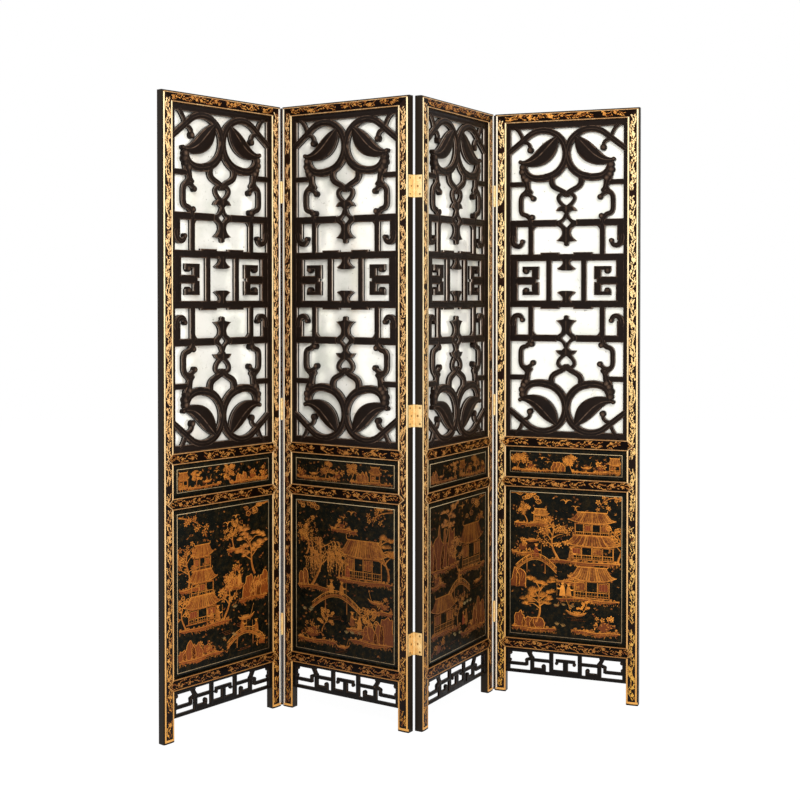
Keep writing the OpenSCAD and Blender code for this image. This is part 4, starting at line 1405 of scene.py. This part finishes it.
def figure(pic, x, z, s, hand=1):
    """A small robed walker with a broad hat, seen from afar."""
    s = s * 1.55
    way, at = np.array([hand * s, s]), np.array([x, z])
    robe = np.array([[-.2, 0], [.24, 0], [.17, .45], [.12, .72], [-.08, .74],
                     [-.15, .45]])
    pic.plate(robe * way + at, pic.rng.choice([-1.0, .3, .5, .8]))
    pic.line(np.array([[0, .62], [.22, .46], [.4, .5]]) * way + at, s * .12,
             s * .07, .9, 2)
    pic.line(np.array([[.4, 0], [.4, .95]]) * way + at, 1.1, tone=.7)
    head = x + hand * s * .02 + np.zeros(1)
    pic.dabs(head, z + s * .83, 0, s * .2, s * .2, .9)
    pic.dabs(head, z + s * .93, 0, s * .42, s * .11, .6)


def bird(pic, x, z, s):
    """A crane in flight: two bowed wings, body and neck."""
    at = np.array([x, z])
    for hand in (-1, 1):
        pic.line(bez([0, 0], [hand * .3, .45], [hand * .6, .5], [hand, .2], 7)
                 * s + at, s * .2, .8, .85, 3)
    pic.line(np.array([[-.1, -.25], [0, 0], [.12, .3], [.1, .55]]) * s + at,
             s * .16, .9, .95, 2)


def bush(pic, x, z, w, h):
    """A flowering bush: leaves over a mound with large blooms."""
    rng = pic.rng
    mound(pic, (x, z + h * .3), min(w * .3, h * .5))
    n = int(w * .5)
    t = rng.uniform(-1, 1, n)
    pic.dabs(x + t * w / 2, z + h * rng.uniform(0, 1, n) * (1 - t ** 2),
             rng.uniform(0, 3.1, n), rng.uniform(6, 11, n),
             rng.uniform(2.8, 4.6, n), rng.uniform(.1, .8, n))
    for _ in range(max(2, int(w / 16))):
        flower(pic, x + rng.uniform(-.4, .4) * w, z + rng.uniform(.3, .95) * h,
               rng.uniform(6, 9), rng.uniform(.5, 1))


def reeds(pic, x, z, w):
    """Grey-green water plants: loose fans of narrow leaves."""
    rng = pic.rng
    for _ in range(max(2, int(w / 14))):
        a = np.linspace(.7, 2.4, 5) + rng.uniform(-.2, .2)
        u, v = x + rng.uniform(-.5, .5) * w, z + rng.uniform(-5, 5)
        long = rng.uniform(8, 13)
        pic.dabs(u + np.cos(a) * long * .5, v + np.sin(a) * long * .4, a, long,
                 2.2, 1.6)


def specks(pic, count):
    """Fine sprinkled gold over the ground."""
    rng = pic.rng
    pic.dabs(rng.uniform(4, pic.size[0] - 4, count),
             rng.uniform(4, pic.size[1] - 4, count), rng.uniform(0, 3, count),
             rng.uniform(1.0, 2.4, count), rng.uniform(.8, 1.4, count),
             rng.uniform(0, 1, count), .5)


def sprigs(pic, count):
    """Small sprigs strewn over the ground: three narrow leaves each."""
    rng = pic.rng
    x = rng.uniform(8, pic.size[0] - 8, count)
    z = rng.uniform(8, pic.size[1] - 8, count)
    way = rng.uniform(.6, 2.5, count)
    for turn in (-.8, 0.0, .8):
        a = way + turn
        pic.dabs(x + np.cos(a) * 3.4, z + np.sin(a) * 3.4, a,
                 rng.uniform(4, 8, count), 2.0, rng.uniform(.05, .6, count),
                 .5)


def lake_view(pic):
    """Leaf 1: a tall house on the left bank, a pine over rocks on the right,
    a boat between, and a bridge in front."""
    specks(pic, 170)
    sprigs(pic, 150)
    shore(pic, 186, 262, 322, 2.0)
    tree(pic, 214, 324, 92, 14, "blossom", 5)
    branch(pic, [4, 440], [104, 398], "blossom")
    branch(pic, [350, 446], [262, 424], "leaf", 13)
    bird(pic, 190, 398, 18)
    bird(pic, 222, 416, 14)
    pavilion(pic, 92, 128, 116, 236, 3, 4)
    tree(pic, 172, 118, 150, 26, "blossom")
    tree(pic, 30, 118, 108, -6, "leaf", 5)
    shore(pic, 6, 205, 116)
    rocks(pic, 302, 170, 96, 84, 3)
    tree(pic, 298, 236, 150, -52, "pine", 7)
    shore(pic, 348, 232, 168)
    figure(pic, 150, 122, 30)
    figure(pic, 128, 122, 26, -1)
    boat(pic, 262, 108, 32)
    ripples(pic, 200, 84, 70)
    rocks(pic, 44, 30, 88, 62, 3)
    bush(pic, 110, 34, 70, 40)
    shore(pic, 6, 172, 30)
    bridge(pic, 186, 330, 36, 34)
    figure(pic, 246, 72, 28)
    bush(pic, 328, 18, 50, 40)
    ripples(pic, 262, 22, 80, 2)
    reeds(pic, 196, 66, 50)
    reeds(pic, 232, 150, 40)
    bush(pic, 226, 250, 46, 40)
    rocks(pic, 214, 214, 50, 36, 2)
    tree(pic, 40, 236, 130, 10, "blossom", 6)
    shore(pic, 6, 84, 232, 2.0)
    branch(pic, [350, 214], [276, 190], "leaf", 12)
    figure(pic, 304, 60, 26, -1)
    shore(pic, 180, 252, 212)
    figure(pic, 236, 216, 26, -1)


def island_view(pic):
    """Leaf 2: a willow on the left bank, a house on the right, and a long
    bridge with walkers."""
    specks(pic, 170)
    sprigs(pic, 150)
    shore(pic, 130, 226, 374, 2.0)
    bush(pic, 170, 376, 62, 26)
    branch(pic, [350, 440], [262, 404], "blossom")
    branch(pic, [4, 446], [84, 430], "leaf", 12)
    bird(pic, 204, 424, 17)
    bird(pic, 176, 408, 12)
    tree(pic, 60, 196, 178, 30, "willow", 7)
    shore(pic, 6, 140, 194)
    rocks(pic, 28, 196, 50, 60, 2)
    pavilion(pic, 246, 232, 146, 116, 1, 5)
    tree(pic, 160, 226, 110, -14, "blossom", 5)
    tree(pic, 334, 236, 150, -12, "pine", 6)
    shore(pic, 150, 350, 228)
    figure(pic, 190, 236, 28)
    bridge(pic, 60, 236, 132, 44)
    figure(pic, 132, 180, 27, -1)
    figure(pic, 168, 178, 27)
    boat(pic, 292, 168, 28, -1)
    ripples(pic, 150, 112, 90)
    rocks(pic, 300, 52, 100, 92, 3)
    tree(pic, 268, 60, 104, -20, "leaf", 6)
    shore(pic, 350, 196, 50)
    bush(pic, 62, 40, 92, 52)
    shore(pic, 6, 150, 34)
    boat(pic, 172, 22, 24)
    reeds(pic, 210, 66, 60)
    reeds(pic, 40, 120, 46)
    bush(pic, 30, 318, 44, 60)
    tree(pic, 40, 290, 110, 6, "blossom", 6)
    tree(pic, 96, 60, 76, 14, "leaf", 5)
    figure(pic, 206, 92, 28)
    figure(pic, 234, 84, 26, -1)
    shore(pic, 186, 262, 82, 2.0)
    bush(pic, 322, 150, 50, 40)
    shore(pic, 350, 284, 146, 2.0)


def cliff_view(pic):
    """Leaf 3: a cliff with a pine, a house above and one below, and a bridge
    between them."""
    specks(pic, 170)
    rocks(pic, 70, 262, 130, 130, 4)
    tree(pic, 86, 330, 128, 60, "pine", 6)
    sprigs(pic, 150)
    bush(pic, 316, 372, 56, 28)
    branch(pic, [350, 444], [250, 410], "leaf")
    bird(pic, 200, 424, 17)
    bird(pic, 228, 438, 12)
    shore(pic, 6, 178, 258)
    pavilion(pic, 258, 236, 128, 132, 1, 4)
    shore(pic, 176, 350, 232)
    tree(pic, 172, 236, 120, -8, "leaf", 6)
    bridge(pic, 110, 250, 164, 34)
    figure(pic, 178, 200, 27)
    boat(pic, 300, 180, 27)
    pavilion(pic, 82, 74, 128, 104, 1, 4)
    shore(pic, 6, 190, 70)
    tree(pic, 172, 72, 100, 16, "blossom", 6)
    figure(pic, 226, 66, 29, -1)
    figure(pic, 206, 66, 26)
    rocks(pic, 308, 44, 86, 86, 3)
    bush(pic, 248, 36, 64, 34)
    shore(pic, 350, 186, 42)
    bush(pic, 52, 16, 84, 36)
    ripples(pic, 140, 28, 60, 2)
    reeds(pic, 170, 44, 50)
    reeds(pic, 236, 128, 60)
    bush(pic, 40, 216, 66, 40)
    shore(pic, 6, 96, 214)


def garden_view(pic):
    """Leaf 4: two houses over the water on the right, a small one far off, a
    tree in bloom, a bridge and a pine."""
    specks(pic, 170)
    sprigs(pic, 150)
    shore(pic, 14, 128, 352, 2.0)
    tree(pic, 56, 354, 66, -10, "blossom", 4)
    pavilion(pic, 98, 356, 46, 42, 1, 3)
    branch(pic, [4, 446], [96, 424], "leaf", 13)
    branch(pic, [350, 442], [286, 420], "blossom", 12)
    bird(pic, 180, 424, 18)
    bird(pic, 210, 408, 13)
    pavilion(pic, 262, 246, 150, 156, 2, 5)
    tree(pic, 158, 240, 146, -26, "blossom", 7)
    tree(pic, 342, 244, 120, -8, "leaf", 5)
    shore(pic, 350, 120, 240)
    figure(pic, 196, 244, 28)
    boat(pic, 70, 296, 26)
    bridge(pic, 18, 150, 204, 40)
    figure(pic, 84, 248, 27)
    rocks(pic, 26, 150, 60, 74, 2)
    pavilion(pic, 262, 128, 122, 98, 1, 4)
    shore(pic, 348, 150, 124)
    figure(pic, 170, 130, 30, -1)
    figure(pic, 188, 130, 27)
    tree(pic, 84, 40, 150, 34, "pine", 7)
    rocks(pic, 60, 22, 92, 54, 3)
    boat(pic, 214, 74, 31, -1)
    bush(pic, 300, 26, 92, 50)
    shore(pic, 350, 196, 24)
    shore(pic, 6, 150, 22)
    reeds(pic, 176, 34, 50)
    reeds(pic, 176, 100, 60)
    bush(pic, 40, 262, 56, 44)
    shore(pic, 6, 84, 258)
    tree(pic, 232, 72, 52, 8, "leaf", 4)
    shore(pic, 150, 236, 176, 2.0)
    bush(pic, 196, 178, 40, 26)


def frieze_view(pic):
    """The narrow frieze: bushes, small trees, rocks, birds, a house and a
    boat in a row, in an order that differs on each leaf."""
    rng = pic.rng
    specks(pic, 60)
    sprigs(pic, 34)
    kinds = ["bush", "tree", "rocks", "bird", "house", "bush", "tree", "boat"]
    order = rng.permutation(len(kinds))
    w = pic.size[0] / len(kinds)
    shore(pic, 6, pic.size[0] * .46, 9, 1.5, deep=5.0)
    shore(pic, pic.size[0] * .56, pic.size[0] - 6, 9, 1.5, deep=5.0)
    for i, k in enumerate(order):
        x, kind = (i + .5) * w, kinds[k]
        if kind == "bush":
            bush(pic, x, 10, w * .95, 34)
        elif kind == "tree":
            tree(pic, x, 8, 58, rng.uniform(-16, 16),
                 ("blossom", "leaf")[i % 2], 5)
        elif kind == "rocks":
            rocks(pic, x, 8, w * .9, 36, 3)
        elif kind == "house":
            pavilion(pic, x, 9, w * .8, 46, 1, 3)
        elif kind == "boat":
            boat(pic, x, 20, 17)
        else:
            bird(pic, x - 8, 46, 11)
            bird(pic, x + 10, 34, 9)


# ---------------------------------------------------------------- folds

def rod_spans(number):
    """Heights, in metres, of the rods: from the floor to the first of the
    fold's pins, between each two pins, and from the last to the top."""
    pins = frame["nodes"][f"fold_{number}_pins"].data
    z = np.empty(len(pins.vertices) * 3)
    pins.vertices.foreach_get("co", z)
    z = np.unique(np.round(z.reshape(-1, 3)[:, 2], 4))
    last = np.nonzero(np.diff(z) > PIN_GAP * MM)[0]
    return zip([ROD_GAP * MM, *z[last], z[-1]],
               [z[0], *z[last + 1], LEAF_H * MM - ROD_GAP * MM])


def rods(joint, number, radius):
    """Slim dark rods, painted shade, on the fold's own axis, so that they turn
    in place as the leaves fold: circles of one radius, drawn in at both ends."""
    a = np.linspace(0, 2 * np.pi, 14, endpoint=False)
    shell = Shell()
    x, y, _ = joint["pos_m"]
    r = np.array([.7, 1, 1, .7])[:, None] * radius * MM
    for low, high in rod_spans(number):
        z = np.array([low, low, high, high]) + [0, .001, -.001, 0]
        grid = np.stack([x + r * np.cos(a), y + r * np.sin(a),
                         np.repeat(z[:, None], len(a), 1)], -1)
        shell.tube(grid, .5)
    return shell


def gild_back(shell):
    """Simple gold borders on the flat backs: the mirror's board and the two
    panels."""
    for (low, high), depth, inset in ((FRET, LEAF_T, 16.0),
                                      (FRIEZE, PANEL_BACK, 12.0),
                                      (LOWER, PANEL_BACK, 14.0)):
        for more, wide in ((0.0, 2.6), (6.5, 1.2)):
            i = inset + more
            path = box_path(OPEN[0] + i, OPEN[1] - i, low + i, high - i)
            a, b = mitred(path, wide, True)
            ribbon(shell, (a, b), depth, depth - .4, -.35, ROUNDED, 1.0)


# ---------------------------------------------------------------- operators

class SCREEN_OT_stage(bpy.types.Operator):
    """Makes the floor, the lights, the white surroundings and the camera"""
    bl_idname = "lacquer_screen.stage"
    bl_label = "Stage"

    def execute(self, context):
        scene = context.scene
        scene.view_settings.view_transform = "Standard"
        world = scene.world or bpy.data.worlds.new("surroundings")
        scene.world = world
        world.use_nodes = True
        sky = Nodes(world.node_tree)
        sky.tree.nodes.clear()
        glow = sky.node("ShaderNodeBackground", {}, {
            "Color": (1, 1, 1), "Strength": SHADE + sky.seen() * (1 - SHADE)})
        out = sky.tree.nodes.new("ShaderNodeOutputWorld")
        sky.feed(out.inputs["Surface"], glow)
        self.floor()
        for name, place, size, power in LAMPS:
            lamp = bpy.data.lights.new(name, "AREA")
            lamp.size, lamp.energy = size, power
            made = bpy.data.objects.new(name, lamp)
            scene.collection.objects.link(made)
            made.visible_glossy = False
            made.location = place
            way = Vector(AIM) - Vector(place)
            made.rotation_euler = way.to_track_quat("-Z", "Y").to_euler()
        eye = bpy.data.cameras.new("view")
        eye.lens, eye.sensor_width, eye.shift_y = (EYE_LENS, EYE_SENSOR,
                                                   EYE_SHIFT)
        camera = bpy.data.objects.new("view", eye)
        scene.collection.objects.link(camera)
        camera.location = EYE
        camera.rotation_euler = (math.radians(EYE_TILT), 0.0, 0.0)
        scene.camera = camera
        return {"FINISHED"}

    def floor(self):
        """A plain pale floor, mostly of its own light to the camera, so that
        only a soft shadow shows, and white in reflections."""
        mesh = bpy.data.meshes.new("floor")
        s = FLOOR_HALF
        mesh.from_pydata([(-s, -s, 0), (s, -s, 0), (s, s, 0), (-s, s, 0)], [],
                         [(0, 1, 2, 3)])
        made = bpy.data.objects.new("floor", mesh)
        bpy.context.scene.collection.objects.link(made)
        f = Finish("floor")
        f.surface(Base_Color=(0.93, 0.93, 0.93), Roughness=0.9,
                  Specular_IOR_Level=0.1)
        glow = f.node("ShaderNodeEmission", {}, {"Color": (1, 1, 1),
                                                 "Strength": FLOOR_GLOW})
        both = f.node("ShaderNodeMixShader", {}, {
            0: f.seen() * 0.9, 1: Val(f, f.shader.outputs[0]), 2: glow})
        f.feed(f.tree.nodes["Material Output"].inputs["Surface"], both)
        mesh.materials.append(f.material)


class SCREEN_OT_finishes(bpy.types.Operator):
    """Gives every construction part its finish"""
    bl_idname = "lacquer_screen.finishes"
    bl_label = "Finishes"

    def execute(self, context):
        c = context.scene.lacquer_colours
        # each leaf's lacquers darken towards the foot: painted shade
        lacquers = {
            leaf.name: frame_lacquer(
                leaf.name + "_lacquer", tuple(c.ground), linear("#7A4A22"),
                tuple(c.black), tuple(-leaf.back)) for leaf in LEAVES}
        rails = {
            leaf.name: frame_lacquer(
                leaf.name + "_rail_lacquer", tuple(v * 0.35 for v in c.ground),
                linear("#5A3214"), tuple(c.black), tuple(-leaf.back), 0.05)
            for leaf in LEAVES}
        black = frame_lacquer("back_lacquer", tuple(c.black),
                              linear("#4A3A2A"))
        by_end = {
            "mirror": antique_mirror(tuple(c.glass)),
            "backboard": black,
            "panel": panel_lacquer(tuple(c.panel)),
            # the carvings' pale ridges are partly rubbed wear and partly
            # painted highlight, with painted reflection down their sides
            "fretwork": carved_lacquer("carved_fret", tuple(c.fret),
                                       tuple(c.fret_rub_and_sheen)),
            "fret": carved_lacquer("carved_apron",
                                   tuple(v * 0.4 for v in c.fret),
                                   linear("#5A4433")),
            "plates": polished_brass("hinge_brass", tuple(c.brass),
                                     linear("#D9A65C")),
            "pins": polished_brass("pin_brass", linear("#FBE7B2"),
                                   linear("#DDB36A")),
            "screws": polished_brass("screw_brass", linear("#B98F4E"),
                                     linear("#6E4E25")),
        }
        for name, node in frame["nodes"].items():
            node.data.materials.clear()
            end = name.rsplit("_", 1)[-1]
            plain = rails if end in ("rail", "rails") else lacquers
            leaf = name[:len("leaf_1")]
            node.data.materials.append(by_end.get(end) or plain[leaf])
        return {"FINISHED"}


class SCREEN_OT_fretwork(bpy.types.Operator):
    """Carves the frets before the mirrors"""
    bl_idname = "lacquer_screen.fretwork"
    bl_label = "Fretwork"

    def execute(self, context):
        for leaf in LEAVES:
            shell = Shell()
            carve_fret(shell, context.scene.lacquer_sizes)
            made = shell.piece(leaf.name + "_carved_fret", leaf,
                               bpy.data.materials["carved_fret"],
                               "fret_lacquer", 50.0)
            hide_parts(leaf.name + "_fretwork")
        return {"FINISHED"}


class SCREEN_OT_aprons(bpy.types.Operator):
    """Carves the pierced aprons between the feet"""
    bl_idname = "lacquer_screen.aprons"
    bl_label = "Aprons"

    def execute(self, context):
        for leaf in LEAVES:
            shell = Shell()
            carve_apron(shell, context.scene.lacquer_sizes)
            made = shell.piece(leaf.name + "_carved_apron", leaf,
                               bpy.data.materials["carved_apron"],
                               "fret_lacquer", 50.0)
            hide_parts(leaf.name + "_apron_fret")
        return {"FINISHED"}


class SCREEN_OT_lines(bpy.types.Operator):
    """Lays the gold lines and draws the joints of the frames"""
    bl_idname = "lacquer_screen.lines"
    bl_label = "Gold lines"

    def execute(self, context):
        c = context.scene.lacquer_colours
        # painted light: the lines pale towards the top and darken a little
        # towards the foot
        gold = gilding("gold_line", tuple(c.line), linear("#925E28"), .2, .36,
                       .95, .15)
        bead = gilding("field_bead", linear("#BFA77E"), linear("#503C26"),
                       .2, .36)
        dark = frame_lacquer("joint_line", linear("#0C0805"),
                             linear("#2A1A0C"))
        for leaf in LEAVES:
            shell = Shell()
            gild_lines(shell, leaf, context.scene.lacquer_sizes)
            shell.piece(leaf.name + "_gold_lines", leaf, gold, "gilding")
            shell = Shell()
            gild_beads(shell, leaf)
            shell.piece(leaf.name + "_field_beads", leaf, bead, "gilding")
            shell = Shell()
            shoulder_creases(shell)
            shell.piece(leaf.name + "_joint_lines", leaf, dark,
                        "frame_lacquer")
        return {"FINISHED"}


class SCREEN_OT_sprays(bpy.types.Operator):
    """Lays the gilt leaf sprays along the bands"""
    bl_idname = "lacquer_screen.sprays"
    bl_label = "Gilt sprays"

    def execute(self, context):
        c = context.scene.lacquer_colours
        # each leaf's gilt is made brighter or darker by its own levels:
        # painted light and shade
        for leaf, level, rail in zip(LEAVES, SPRAY_PAINTED_LIGHT, RAIL_PAINTED_LIGHT):
            dim = gilding(leaf.name + "_rail_gilt",
                          tuple(v * rail for v in linear("#C88A40")),
                          tuple(c.spray_deep), low=.5)
            gilt = gilding(leaf.name + "_spray_gilt",
                           tuple(min(1.0, v * level) for v in c.spray),
                           tuple(v * level for v in c.spray_deep),
                           painted_sheen=.5 * level, low=.38)
            shell, rails = Shell(), Shell()
            gild_sprays(shell, rails, leaf, context.scene.lacquer_sizes)
            shell.piece(leaf.name + "_sprays", leaf, gilt, "gilding", 60.0)
            rails.piece(leaf.name + "_rail_sprays", leaf, dim, "gilding", 60.0)
        return {"FINISHED"}


class SCREEN_OT_pictures(bpy.types.Operator):
    """Draws the gilt pictures on the raised fields"""
    bl_idname = "lacquer_screen.pictures"
    bl_label = "Gilt pictures"

    def execute(self, context):
        c = context.scene.lacquer_colours
        rise = context.scene.lacquer_sizes.picture_rise / MM
        views = (lake_view, island_view, cliff_view, garden_view)
        # each leaf's picture gilt is made brighter or darker by its own
        # levels: painted light and shade
        for leaf, draw, level in zip(LEAVES, views, PICTURE_PAINTED_LIGHT):
            gilt = gilding(leaf.name + "_picture_gilt",
                           tuple(v * level[0] for v in c.picture),
                           tuple(v * level[1] for v in c.picture_deep), 0.2,
                           0.45, bare=0.9)
            for name, span, act in (("lower", LOWER, draw),
                                    ("frieze", FRIEZE, frieze_view)):
                pic = Picture(span, rise, 20 * leaf.number + len(name))
                act(pic)
                pic.shell.piece(f"{leaf.name}_{name}_picture", leaf, gilt,
                                "gilding", 45.0)
        return {"FINISHED"}


class SCREEN_OT_folds(bpy.types.Operator):
    """Sets the dark rods, painted shade, on the axes of the two closed folds
    """
    bl_idname = "lacquer_screen.folds"
    bl_label = "Fold rods"

    def execute(self, context):
        dark = fold_shadow()
        for number, radius in ROD_SIZES:
            joint = frame["joints"][number - 1]
            rods(joint, number, radius).piece(
                f"fold_{number}_rods", joint["parent"], dark, "back_lacquer")
        return {"FINISHED"}


class SCREEN_OT_backs(bpy.types.Operator):
    """Draws the plain gold borders on the backs"""
    bl_idname = "lacquer_screen.backs"
    bl_label = "Backs"

    def execute(self, context):
        for leaf in LEAVES:
            shell = Shell()
            gild_back(shell)
            shell.piece(leaf.name + "_back_lines", leaf,
                        bpy.data.materials[leaf.name + "_rail_gilt"],
                        "gilding")
        return {"FINISHED"}


OPERATORS = (SCREEN_OT_stage, SCREEN_OT_finishes, SCREEN_OT_fretwork,
             SCREEN_OT_aprons, SCREEN_OT_lines, SCREEN_OT_sprays,
             SCREEN_OT_pictures, SCREEN_OT_folds, SCREEN_OT_backs)


class SCREEN_PT_panel(bpy.types.Panel):
    """Lists the steps, sizes and colours"""
    bl_idname = "SCREEN_PT_panel"
    bl_label = "Lacquer Screen"
    bl_space_type = "VIEW_3D"
    bl_region_type = "UI"
    bl_category = "Screen"

    def draw(self, context):
        for operator in OPERATORS:
            self.layout.operator(operator.bl_idname)
        for group in (context.scene.lacquer_sizes,
                      context.scene.lacquer_colours):
            for name in group.__annotations__:
                self.layout.prop(group, name)


CLASSES = (ScreenSizes, ScreenColours, *OPERATORS, SCREEN_PT_panel)


def register():
    for item in CLASSES:
        bpy.utils.register_class(item)
    bpy.types.Scene.lacquer_sizes = bpy.props.PointerProperty(type=ScreenSizes)
    bpy.types.Scene.lacquer_colours = bpy.props.PointerProperty(
        type=ScreenColours)


def unregister():
    del bpy.types.Scene.lacquer_colours
    del bpy.types.Scene.lacquer_sizes
    for item in reversed(CLASSES):
        bpy.utils.unregister_class(item)


def main():
    """Registers the add-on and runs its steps."""
    register()
    for operator in OPERATORS:
        group, name = operator.bl_idname.split(".")
        getattr(getattr(bpy.ops, group), name)()


if __name__ == "__main__":
    main()
